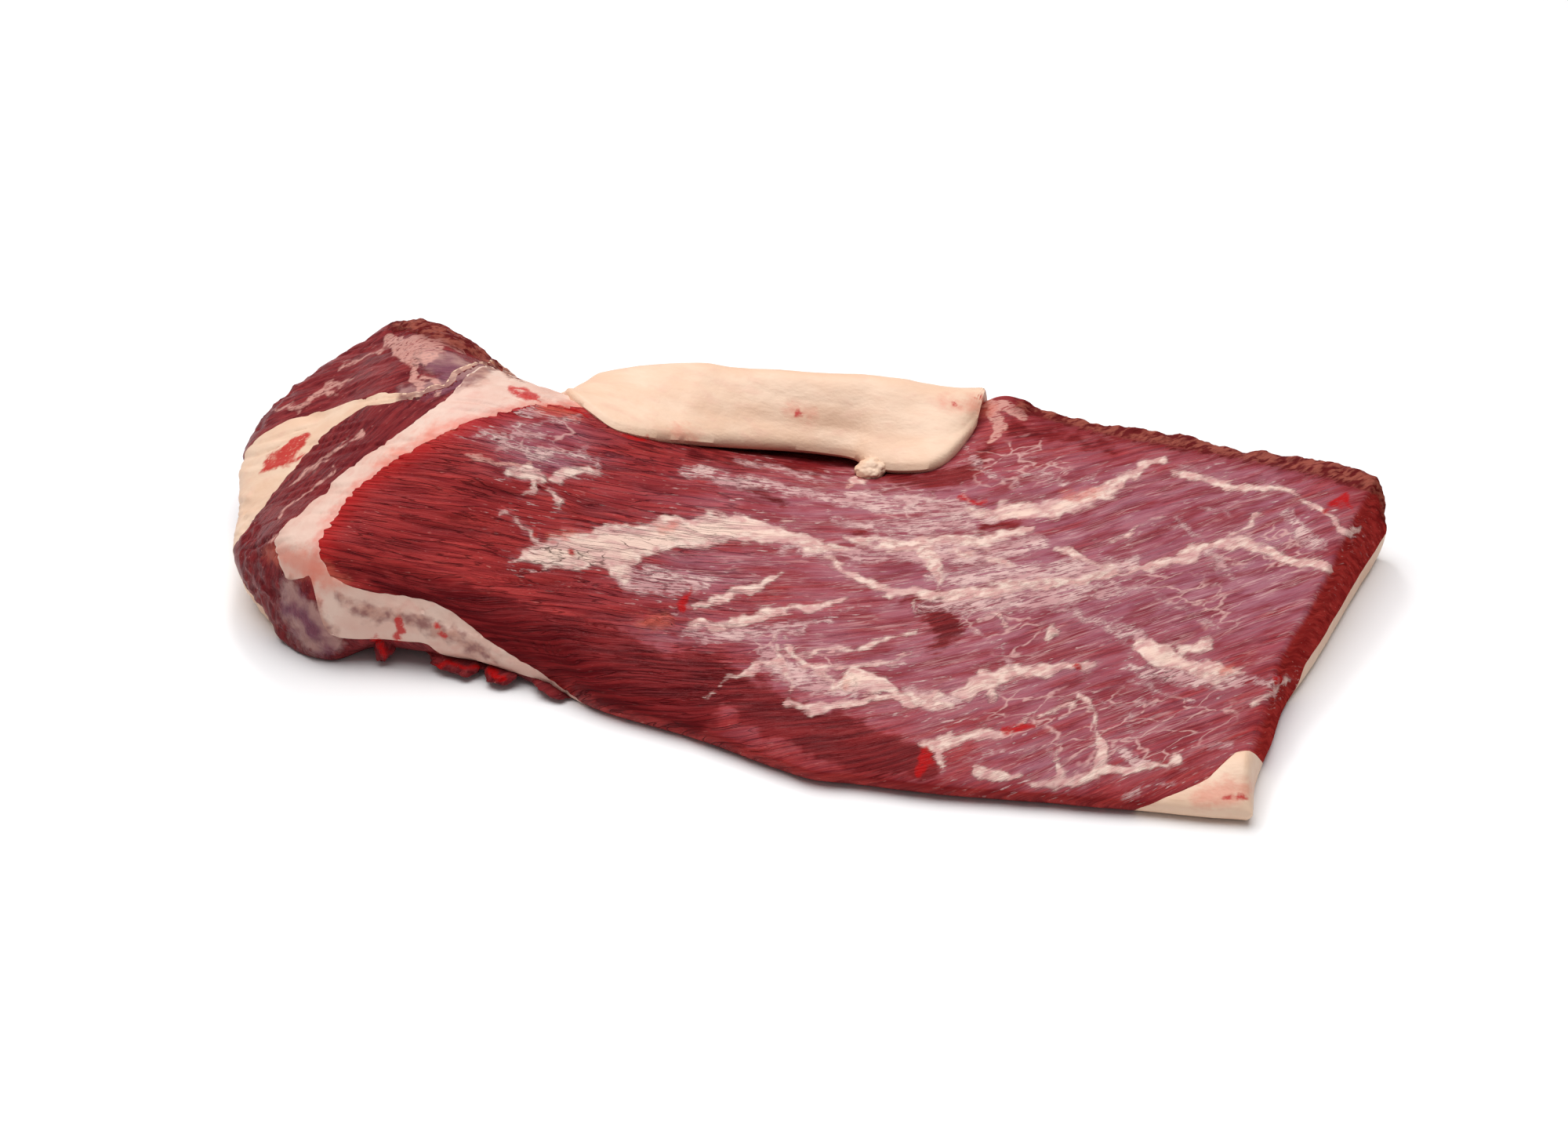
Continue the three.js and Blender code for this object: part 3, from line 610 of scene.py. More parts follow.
def distance_to(line, x, y):
    """Distance to a line of points, above 0 on the side of the flat end."""
    nearest = np.full(np.shape(x), np.inf)
    side = np.ones(np.shape(x))
    for (ax, ay), (bx, by) in zip(line, line[1:]):
        dx, dy = bx - ax, by - ay
        t = np.clip(((x - ax) * dx + (y - ay) * dy) / (dx * dx + dy * dy), 0, 1)
        distance = np.hypot(x - ax - t * dx, y - ay - t * dy)
        closer = distance < nearest
        nearest = np.where(closer, distance, nearest)
        side = np.where(closer, np.where((x - ax) * dy - (y - ay) * dx > 0, 1, -1), side)
    return nearest * side


def ragged(x, y, seed):
    """How far a layer's border strays from its drawn line."""
    return 1.5 * layered_noise(x / 16, y / 16, seed=seed) + 0.5 * noise(x / 3.5, y / 3.5, seed=seed + 9)


def muscle_floor(x, y):
    """Where the flat muscle ends and the seam of fat begins, with fingers of lean at its border."""
    fingers = 1.7 * noise(x / 26, y / 2.8, seed=41) + 0.9 * noise(x / 12, y / 1.4, seed=42)
    dive = DIVE * (distance_to(FLAT_MUSCLE_LINE, x, y) + ragged(x, y, 31) + fingers)
    level = smooth(MUSCLE_FLOOR_AT, MUSCLE_FLOOR_Z, x) + ragged(x, y, 33)
    return np.maximum(level, upper_height(x, y) - dive)


def seam_floor(x, y):
    """Where the seam of fat ends and the point's lean begins."""
    dive = DIVE * (distance_to(SEAM_LINE, x, y) + ragged(x, y, 35))
    return np.maximum(smooth(SEAM_FLOOR_AT, SEAM_FLOOR_Z, x), upper_height(x, y) - dive)


def cap_top(x, y):
    """Top of the fat cap under the lean, up to where it comes to light."""
    share = ease_between(distance_to(CAP_BORDER, x, y), -CAP_TAPER, CAP_TAPER)
    top = upper_height(x, y)
    stray = ragged(x, y, 37)
    return np.maximum.reduce([
        CAP_THICKNESS * (2 * share - 1),
        top - DIVE * (distance_to(POINT_MUSCLE_LINE, x, y) + stray),
        top - DIVE * (distance_to(CAP_CORNER, x, y) + stray),
    ])


def outer_lean_top(x, y):
    """Top of the lean on the outside of the cap."""
    dive = DIVE * (distance_to(CAP_LINE, x, y) + ragged(x, y, 39))
    return np.maximum(-OUTER_LEAN_THICKNESS, upper_height(x, y) - dive)


def new_mesh(name, points, faces):
    mesh = bpy.data.meshes.new(name)
    mesh.from_pydata((points * MM).tolist(), [], faces)
    mesh.update()
    return mesh


def new_object(name, mesh):
    obj = bpy.data.objects.new(name, mesh)
    bpy.context.scene.collection.objects.link(obj)
    return obj


def points_of(mesh):
    """A mesh's points in millimetres."""
    co = np.empty(len(mesh.vertices) * 3)
    mesh.vertices.foreach_get("co", co)
    return co.reshape(-1, 3) / MM


def cut(target, tool, operation):
    """The mesh of target after a Boolean with tool."""
    modifier = target.modifiers.new("cut", "BOOLEAN")
    modifier.operation = operation
    modifier.object = tool
    modifier.solver = "MANIFOLD"
    depsgraph = bpy.context.evaluated_depsgraph_get()
    mesh = bpy.data.meshes.new_from_object(target.evaluated_get(depsgraph))
    target.modifiers.remove(modifier)
    return mesh


def crowded_shares(steps, start_reach, end_reach):
    """Shares from 0 to 1 that crowd together where the two ends round off."""
    turn = np.arange(RIM_STEPS) / RIM_STEPS
    start = start_reach * (1 - np.cos(np.pi / 2 * turn))
    end = 1 - end_reach * (1 - np.cos(np.pi / 2 * turn[::-1]))
    inner = np.linspace(start_reach, 1 - end_reach, steps - 2 * RIM_STEPS + 1)
    return np.concatenate([start, inner, end])


def sheet_faces(rows, columns, offset=0):
    index = np.arange(rows * columns).reshape(rows, columns) + offset
    ring = [index[:-1, :-1], index[1:, :-1], index[1:, 1:], index[:-1, 1:]]
    return np.stack(ring, -1).reshape(-1, 4)


def rim_of(rows, columns):
    """True on the outermost points of a sheet."""
    rim = np.ones((rows, columns), bool)
    rim[1:-1, 1:-1] = False
    return rim


def faces_below(index):
    """Faces of a lower sheet, from its grid of point numbers."""
    return np.stack([index[:-1, :-1], index[:-1, 1:], index[1:, 1:], index[1:, :-1]], -1)


def make_block():
    """The whole block as one closed mesh, with its relief."""
    reach = {side: reaches[0] for side, reaches in ROUNDING.items()}
    us = crowded_shares(LENGTH_STEPS, reach["point_end"] / BLOCK_LENGTH, reach["flat_end"] / BLOCK_LENGTH)
    vs = crowded_shares(WIDTH_STEPS, reach["front"] / BLOCK_WIDTH, reach["back"] / BLOCK_WIDTH)
    u, v = np.meshgrid(us, vs, indexing="ij")
    x, y, top, bottom = block_sheets(u, v)
    upper, lower = np.stack([x, y, top], -1), np.stack([x, y, bottom], -1)
    up, down = sheet_normals(upper), -sheet_normals(lower)
    rim = rim_of(*u.shape)
    edge = unit(up + down)
    up, down = np.where(rim[..., None], edge, up), np.where(rim[..., None], edge, down)
    on_floor = bottom < 1e-6
    raised_upper = upper + up * relief(upper, up)[..., None]
    fade = ease_between(bottom, 0.3, 4)
    raised_lower = lower + down * (relief(lower, down) * fade)[..., None]
    raised_lower = np.where(rim[..., None], raised_upper, raised_lower)
    raised_lower[..., 2] = np.where(on_floor, 0, np.maximum(raised_lower[..., 2], 0.05))

    rows, columns = u.shape
    first_row, last_row = RIM_STEPS + 1, rows - RIM_STEPS - 2
    flat_columns = np.flatnonzero(on_floor[first_row:last_row + 1].all(0))
    first_column, last_column = flat_columns[0], flat_columns[-1]
    count = rows * columns
    index = np.arange(count).reshape(rows, columns)
    lower_index = np.where(rim, index, index + count)
    points = np.concatenate([raised_upper.reshape(-1, 3), raised_lower.reshape(-1, 3)])
    faces = sheet_faces(rows, columns).tolist()
    skip = np.zeros((rows - 1, columns - 1), bool)
    skip[first_row:last_row, first_column:last_column] = True
    faces += faces_below(lower_index)[~skip].tolist()
    sole = lower_index[first_row:last_row + 1, first_column:last_column + 1]
    faces.append(np.concatenate([
        sole[0, :-1], sole[:-1, -1], sole[-1, :0:-1], sole[:0:-1, 0]
    ]).tolist())
    return without_loose_points("block", points, faces)


def without_loose_points(name, points, faces):
    used = np.zeros(len(points), bool)
    used[np.concatenate([np.asarray(f) for f in faces])] = True
    renumber = np.cumsum(used) - 1
    return new_mesh(name, points[used], [renumber[f].tolist() for f in faces])


def unit(vectors):
    return vectors / np.maximum(np.linalg.norm(vectors, axis=-1, keepdims=True), 1e-9)


def sheet_normals(sheet):
    return unit(np.cross(np.gradient(sheet, axis=0), np.gradient(sheet, axis=1)))


def space_over(surface, lift):
    """Everything over a surface, out past the block's own outline."""
    xs = np.concatenate([
        np.arange(-330, -275, 8), np.arange(-275, -85, 1.2), np.arange(-85, 150, 6),
        np.arange(150, 262, 1.6), [300, 330]
    ])
    ys = np.concatenate([np.arange(-180, -125, 8), np.arange(-125, 135, 1.0), [140, 190]])
    x, y = np.meshgrid(xs, ys, indexing="ij")
    sheet = np.stack([x, y, surface(x, y) + lift], -1)
    rows, columns = x.shape
    index = np.arange(rows * columns).reshape(rows, columns)
    corners = np.array([
        [xs[0], ys[0], 200], [xs[-1], ys[0], 200], [xs[-1], ys[-1], 200], [xs[0], ys[-1], 200]
    ])
    a, b, c, d = rows * columns + np.arange(4)
    faces = sheet_faces(rows, columns)[:, ::-1].tolist()
    faces += [
        [a, b, c, d],
        index[:, 0].tolist() + [b, a],
        index[-1, :].tolist() + [c, b],
        index[::-1, -1].tolist() + [d, c],
        index[0, ::-1].tolist() + [a, d],
    ]
    mesh = new_mesh("space", np.concatenate([sheet.reshape(-1, 3), corners]), faces)
    return new_object("space", mesh)


def flap_path(lip, lip_height, rim, crown, tapered):
    """The middle of the flap as a line (y, z) from the lip to the foot of the back edge."""
    half = FLAP_THICKNESS / 2
    start, stop = np.array([lip, lip_height]), np.array([rim - 6, crown])
    across = unit(np.array([start[1] - stop[1], stop[0] - start[0]]))
    points = [start]
    for share in (0.3, 0.6, 0.9):
        swell = FLAP_SWELL * math.sin(math.pi * share)
        points.append(start + (stop - start) * share + across * (swell - half * tapered))
    points += [(rim + 2, crown - half - 14), (rim + 1, 14), (rim - 8, 6)]
    return line_through(points)


def make_flap(growth, rows=170, columns=84):
    """The folded cap: a thick sheet that climbs the back edge and lies forward on the lean."""
    xs = np.linspace(FLAP_FROM, FLAP_TO, rows + 1)
    ts = np.linspace(0, 1, columns + 1)
    rims = smooth([p[0] for p in BACK_EDGE], [p[1] for p in BACK_EDGE], xs)
    lips, crowns = smooth(LIP_AT, LIP_Y, xs), smooth(CROWN_AT, CROWN_Z, xs)
    lip_heights = upper_height(xs, lips) + 1 + smooth(LIP_LIFT_AT, LIP_LIFT, xs)
    upper, lower = np.empty((rows + 1, columns + 1, 3)), np.empty((rows + 1, columns + 1, 3))
    for i, x in enumerate(xs):
        tapered = rise(x - FLAP_FROM, FLAP_TAPERS[0]) * rise(FLAP_TO - x, FLAP_TAPERS[1])
        path = flap_path(lips[i], lip_heights[i], rims[i], crowns[i], tapered)
        here = path(ts)
        way = path(np.minimum(ts + 0.01, 1)) - path(np.maximum(ts - 0.01, 0))
        out = unit(np.stack([-way[:, 1], way[:, 0]], -1))
        ends = tapered * rise(np.minimum(ts, 1 - ts), FLAP_RIM)
        thick = FLAP_THICKNESS / 2 * ends + np.where(ends > 0, growth, 0)
        for sheet, sign in ((upper, 1), (lower, -1)):
            sheet[i, :, 0] = x
            sheet[i, :, 1:] = here + sign * out * thick[:, None]
    up = sheet_normals(upper)
    if growth == 0:
        bumps = flap_relief(upper) * np.clip(np.linalg.norm(upper - lower, axis=-1) / 6, 0, 1)
        upper = upper + up * bumps[..., None]
    rim = rim_of(rows + 1, columns + 1)
    count = (rows + 1) * (columns + 1)
    index = np.arange(count).reshape(rows + 1, columns + 1)
    lower_index = np.where(rim, index, index + count)
    faces = sheet_faces(rows + 1, columns + 1).tolist()
    faces += faces_below(lower_index).reshape(-1, 4).tolist()
    points = np.concatenate([upper.reshape(-1, 3), lower.reshape(-1, 3)])
    return new_object("flap", without_loose_points("flap", points, faces))


def make_lump(name, x, y, z, size, tilt, growth=0.0, roughness=0.0):
    """An ellipsoid with a place, half sizes and a tilt, crumpled by its roughness."""
    bm = bmesh.new()
    bmesh.ops.create_icosphere(bm, subdivisions=5, radius=1)
    mesh = bpy.data.meshes.new(name)
    bm.to_mesh(mesh)
    bm.free()
    ball = points_of(mesh) * MM
    crumple = 1 + roughness * layered_noise(*(ball * 1.2 + [x, y, z]).T, seed=61)
    turn = math.radians(tilt)
    a, b, c = (ball * (np.array(size) + growth) * crumple[:, None]).T
    turned = [a * math.cos(turn) + c * math.sin(turn), b, c * math.cos(turn) - a * math.sin(turn)]
    points = np.stack(turned, -1) + [x, y, z]
    points[:, 2] = np.maximum(points[:, 2], 0.1)
    mesh.vertices.foreach_set("co", (points * MM).ravel())
    mesh.update()
    return new_object(name, mesh)


def largest_part(mesh):
    """Drops the crumbs that a cut may leave."""
    edges = np.empty(len(mesh.edges) * 2, np.int64)
    mesh.edges.foreach_get("vertices", edges)
    a, b = edges.reshape(-1, 2).T
    label = np.arange(len(mesh.vertices))
    while True:
        low = np.minimum(label[a], label[b])
        new = label.copy()
        np.minimum.at(new, a, low)
        np.minimum.at(new, b, low)
        new = new[new]
        if (new == label).all():
            break
        label = new
    names, counts = np.unique(label, return_counts=True)
    keep = label == names[counts.argmax()]
    bm = bmesh.new()
    bm.from_mesh(mesh)
    bm.verts.ensure_lookup_table()
    bmesh.ops.delete(bm, geom=[bm.verts[i] for i in np.flatnonzero(~keep)], context="VERTS")
    bmesh.ops.dissolve_degenerate(bm, dist=1e-6, edges=bm.edges)
    bm.to_mesh(mesh)
    bm.free()
    return mesh


def grain(points):
    """Place along and across the flat muscle's fibres, in millimetres."""
    x, y, z = np.moveaxis(points, -1, 0)
    upper = upper_height(x, y)
    level = z + (upper - z) * (1 - ease_between(np.abs(upper - z), 2, 8))
    bend = 34 * np.log1p(np.exp((x - 60) / 34)) * 0.85
    along = x + 0.3 * y
    across = y - 0.09 * x - bend + 0.75 * level
    return along, across + 3 * noise(along / 60, across / 25, seed=3)


def crack_depth(along, across):
    """0 on the meat, 1 deep between two bundles of fibres."""
    line = 1 - np.abs(noise(along / 44, across / 5.2, seed=8)) / 0.26
    open_here = ease_between(noise(along / 32, across / 12, seed=9), -0.2, 0.25)
    left = 1 - 0.92 * ease_between(along, -60, 40)
    return np.clip(line * open_here, 0, 1) * left


# Kinds of mark that don't keep to their drawn line.
RAGGED = ("fat", "veil", "net", "thread", "stain", "dark_lean_and_shade")


def strayed(pixels, points):
    """Pixel places pushed about, so that marks drawn as plain strokes come out ragged."""
    x, y, z = points.T
    push = [
        9 * noise(x / 13, y / 13, z / 13, seed=51 + k) + 5 * noise(x / 5, y / 5, z / 5, seed=54 + k)
        for k in (0, 1)
    ]
    return pixels + np.stack(push, -1)


def uneven(points):
    """How many pixels wider or narrower a mark comes out here."""
    x, y, z = points.T
    return 5 * noise(x / 7, y / 7, z / 7, seed=57) + 3 * noise(x / 3, y / 3, z / 3, seed=58)


def relief(points, normals):
    """How far the meat stands out from its drawn shape, in millimetres."""
    shape = points.shape[:-1]
    flat = points.reshape(-1, 3)
    along, across = grain(flat)
    x, y, z = flat.T
    pixels = in_photo(flat)
    seen = (normals.reshape(-1, 3) @ camera_axes()[2]) > 0.05
    fat = np.where(seen, mark_distance(strayed(pixels, flat), FAT_MARKS) + uneven(flat), NO_MARK)
    film = np.where(seen, film_density(pixels), 0)
    ripple = noise(along / 26, across / 3.4, seed=5)
    coarse = noise(along / 40, across / 8, seed=6)
    bare = ease_between(fat, -3, 6)
    calm = 1 - 0.75 * np.maximum(film, ease_between(along, -60, 40))
    lean = (0.34 * ripple + 0.5 * coarse) * calm - crack_depth(along, across) * (1 - 0.6 * film)
    swell = 0.9 * layered_noise(x / 38, y / 38, z / 30, seed=11)
    ridge = (0.14 + 0.2 * noise(x / 5, y / 5, seed=12)) * (1 - ease_between(fat, -9, 1))
    drops = np.where(seen, drop_height(pixels), 0)
    loose = 1 - ease_between(mark_distance(pixels, DRY_MARKS + ROUGH_MARKS), -6, 6)
    crumbs = loose * (2.4 * layered_noise(x / 7, y / 7, z / 6, seed=15) - 0.2)
    folds = 1 - ease_between(mark_distance(pixels, GREY_MARKS), -12, 6)
    membrane = folds * 1.5 * layered_noise(x / 11, y / 11, z / 7, seed=16)
    return (swell + lean * (0.35 + 0.65 * bare) + ridge + drops + crumbs + membrane).reshape(shape)


def flap_relief(points):
    """Soft unevenness of the folded cap."""
    x, y, z = np.moveaxis(points, -1, 0)
    return 0.7 * layered_noise(x / 30, y / 16, z / 16, seed=21) + 0.12 * noise(x / 6, y / 5, z / 5, seed=25)


def make_tissues():
    """The five tissues as meshes, cut from the block in the same order as the frame's solids."""
    made = []

    def combine(obj, tool, operation):
        made.append(new_object("step", cut(obj, tool, operation)))
        return made[-1]

    def layer_over(surface, lift):
        made.append(space_over(surface, lift))
        return made[-1]

    block, flap, flap_room = new_object("block", make_block()), make_flap(0), make_flap(GAP, 60, 30)
    nub, nub_room = make_lump("nub", *NUB, roughness=0.35), make_lump("nub_room", *NUB, growth=0.5)
    tags = [make_lump("tag", *tag, roughness=0.45) for tag in TAGS]
    made += [block, flap, flap_room, nub, nub_room, *tags]
    above = combine(block, layer_over(cap_top, GAP), "INTERSECT")
    above = combine(combine(above, flap_room, "DIFFERENCE"), nub_room, "DIFFERENCE")
    below = combine(block, layer_over(cap_top, 0), "DIFFERENCE")
    under = combine(above, layer_over(muscle_floor, -GAP), "DIFFERENCE")
    point = under
    for tag in tags:
        point = combine(point, tag, "UNION")
    for surface in (seam_floor, muscle_floor):
        point = combine(point, layer_over(surface, -GAP), "DIFFERENCE")
    cap = combine(below, layer_over(outer_lean_top, 0), "INTERSECT")
    outer = combine(below, layer_over(outer_lean_top, -GAP), "DIFFERENCE")
    tissues = {
        "flat_muscle": combine(above, layer_over(muscle_floor, 0), "INTERSECT"),
        "seam_fat": combine(under, layer_over(seam_floor, 0), "INTERSECT"),
        "point_muscle": point,
        "fat_cap": combine(combine(cap, flap, "UNION"), nub, "UNION"),
        "outer_lean": combine(outer, flap_room, "DIFFERENCE"),
    }
    meshes = {name: largest_part(obj.data.copy()) for name, obj in tissues.items()}
    for obj in made:
        bpy.data.objects.remove(obj)
    return meshes


def fibre_place(name, points):
    """Place along, across and through a tissue's fibres, in millimetres."""
    x, y, z = points.T
    if name == "flat_muscle":
        along, across = grain(points)
        return np.stack([along, across, 0.6 * z], -1)
    turn = math.radians({"point_muscle": 58, "seam_fat": 58, "outer_lean": 12, "fat_cap": 8}[name])
    along = x * math.cos(turn) + y * math.sin(turn)
    across = y * math.cos(turn) - x * math.sin(turn)
    return np.stack([along + 0.3 * z, across, z], -1)


def store(mesh, label, values):
    """Keeps a number or a place for each point, under a name that the materials read."""
    if values.ndim == 1:
        mesh.attributes.new(label, "FLOAT", "POINT").data.foreach_set("value", values)
    else:
        mesh.attributes.new(label, "FLOAT_VECTOR", "POINT").data.foreach_set("vector", values.ravel())


def paint(mesh, name):
    """Stores where each mark is, for the materials."""
    points = points_of(mesh)
    normals = np.empty(len(points) * 3)
    mesh.vertices.foreach_get("normal", normals)
    normals = normals.reshape(-1, 3)
    pixels = in_photo(points)
    seen = normals @ camera_axes()[2] > 0.05
    marks = {
        "fat": FAT_MARKS, "veil": VEIL_MARKS, "stain": STAIN_MARKS, "blush": BLUSH_MARKS,
        "dry": DRY_MARKS, "craze": CRAZE_MARKS, "dark_lean_and_shade": DARK_LEAN_AND_SHADE_MARKS, "grey": GREY_MARKS, "net": NET_MARKS,
        "thread": THREAD_MARKS,
    }
    wide = uneven(points)
    places = strayed(pixels, points)
    for label, paths in marks.items():
        distance = mark_distance(places if label in RAGGED else pixels, paths)
        distance = np.where(seen, distance + wide * (label in ("fat", "veil", "net")), NO_MARK)
        store(mesh, label, distance)
    store(mesh, "film", film_density(pixels) * seen * ease_between(normals[:, 2], 0.35, 0.7))
    store(mesh, "border", distance_to(FLAT_MUSCLE_LINE, points[:, 0], points[:, 1]))
    along, across = grain(points)
    own = name == "flat_muscle"
    # Depth of the relief's cracks, which the lean darkens as painted shade.
    store(mesh, "crack_and_shade", own * crack_depth(along, across))
    store(mesh, "left", own * (1 - ease_between(along, -60, 40)))
    store(mesh, "fibre", fibre_place(name, points))


def colour(red, green, blue):
    """A colour given as screen values from 0 to 255."""
    return [*(((v / 255 + 0.055) / 1.055) ** 2.4 for v in (red, green, blue)), 1.0]


class Shader:
    """One material, and short ways to add its nodes."""

    def __init__(self, name):
        self.material = bpy.data.materials.new(name)
        self.material.use_nodes = True
        self.tree = self.material.node_tree
        self.surface = self.tree.nodes["Principled BSDF"]

    def node(self, kind, inputs, **settings):
        """Adds a node, with its inputs linked to sockets or set to values."""
        node = self.tree.nodes.new("ShaderNode" + kind)
        for key, value in settings.items():
            setattr(node, key, value)
        for key, value in inputs.items():
            self.give(node.inputs[key], value)
        return node

    def give(self, socket, value):
        if isinstance(value, bpy.types.NodeSocket):
            self.tree.links.new(value, socket)
        else:
            socket.default_value = value

    def field(self, name):
        return self.node("Attribute", {}, attribute_name=name).outputs["Fac"]

    def place(self):
        return self.node("Attribute", {}, attribute_name="fibre").outputs["Vector"]

    def math(self, operation, a, b=0.0):
        return self.node("Math", {0: a, 1: b}, operation=operation).outputs[0]

    def times(self, *values):
        total = values[0]
        for value in values[1:]:
            total = self.math("MULTIPLY", total, value)
        return total

    def plus(self, *values):
        total = values[0]
        for value in values[1:]:
            total = self.math("ADD", total, value)
        return total

    def between(self, value, low, high):
        """0 at low and 1 at high, eased."""
        inputs = {"Value": value, "From Min": low, "From Max": high}
        return self.node("MapRange", inputs, interpolation_type="SMOOTHSTEP").outputs["Result"]

    def noise(self, place, size, seed=0, detail=3.0):
        """Noise from 0 to 1 with features of size millimetres along, across and through."""
        inputs = {0: place, 1: [1 / s for s in size], 2: [17.3 * seed] * 3}
        scaled = self.node("VectorMath", inputs, operation="MULTIPLY_ADD").outputs[0]
        inputs = {"Vector": scaled, "Scale": 1.0, "Detail": detail}
        return self.node("TexNoise", inputs).outputs["Fac"]

    def lines(self, place, size, seed, width):
        """Thin wavy lines along the fibres."""
        middle = self.math("ABSOLUTE", self.plus(self.noise(place, size, seed, detail=2.0), -0.5))
        return self.between(middle, width, 0.0)

    def warped(self, place, size, reach):
        """A place pushed about by noise."""
        inputs = {0: place, 1: [1 / s for s in size]}
        scaled = self.node("VectorMath", inputs, operation="MULTIPLY").outputs[0]
        push = self.node("TexNoise", {"Vector": scaled, "Scale": 1.0, "Detail": 2.0}).outputs["Color"]
        inputs = {0: push, 1: [reach] * 3, 2: place}
        return self.node("VectorMath", inputs, operation="MULTIPLY_ADD").outputs[0]

    def cells(self, place, size):
        """Distance to the nearest border between irregular cells."""
        scaled = self.node("VectorMath", {0: place, 1: [1 / s for s in size]}, operation="MULTIPLY")
        inputs = {"Vector": scaled.outputs[0], "Scale": 1.0}
        return self.node("TexVoronoi", inputs, feature="DISTANCE_TO_EDGE").outputs["Distance"]

    def mix(self, share, under, over):
        inputs = {0: share, 6: under, 7: over}
        return self.node("Mix", inputs, data_type="RGBA").outputs[2]

    def mark(self, name, ruffle, reach, low, high):
        """1 inside a mark, with an edge that the noise ruffle pushes about by reach pixels."""
        shift = self.times(self.plus(ruffle, -0.5), 2 * reach)
        return self.between(self.plus(self.field(name), shift), high, low)

    def finish(self, base, roughness, height, depth, constants):
        """Joins colour, roughness and a bump of depth millimetres to the shader."""
        self.give(self.surface.inputs["Base Color"], base)
        self.give(self.surface.inputs["Roughness"], roughness)
        bump = self.node("Bump", {"Height": height, "Distance": depth * MM, "Strength": 1.0})
        self.give(self.surface.inputs["Normal"], bump.outputs["Normal"])
        for key, value in constants.items():
            self.surface.inputs[key].default_value = value
        return self.material


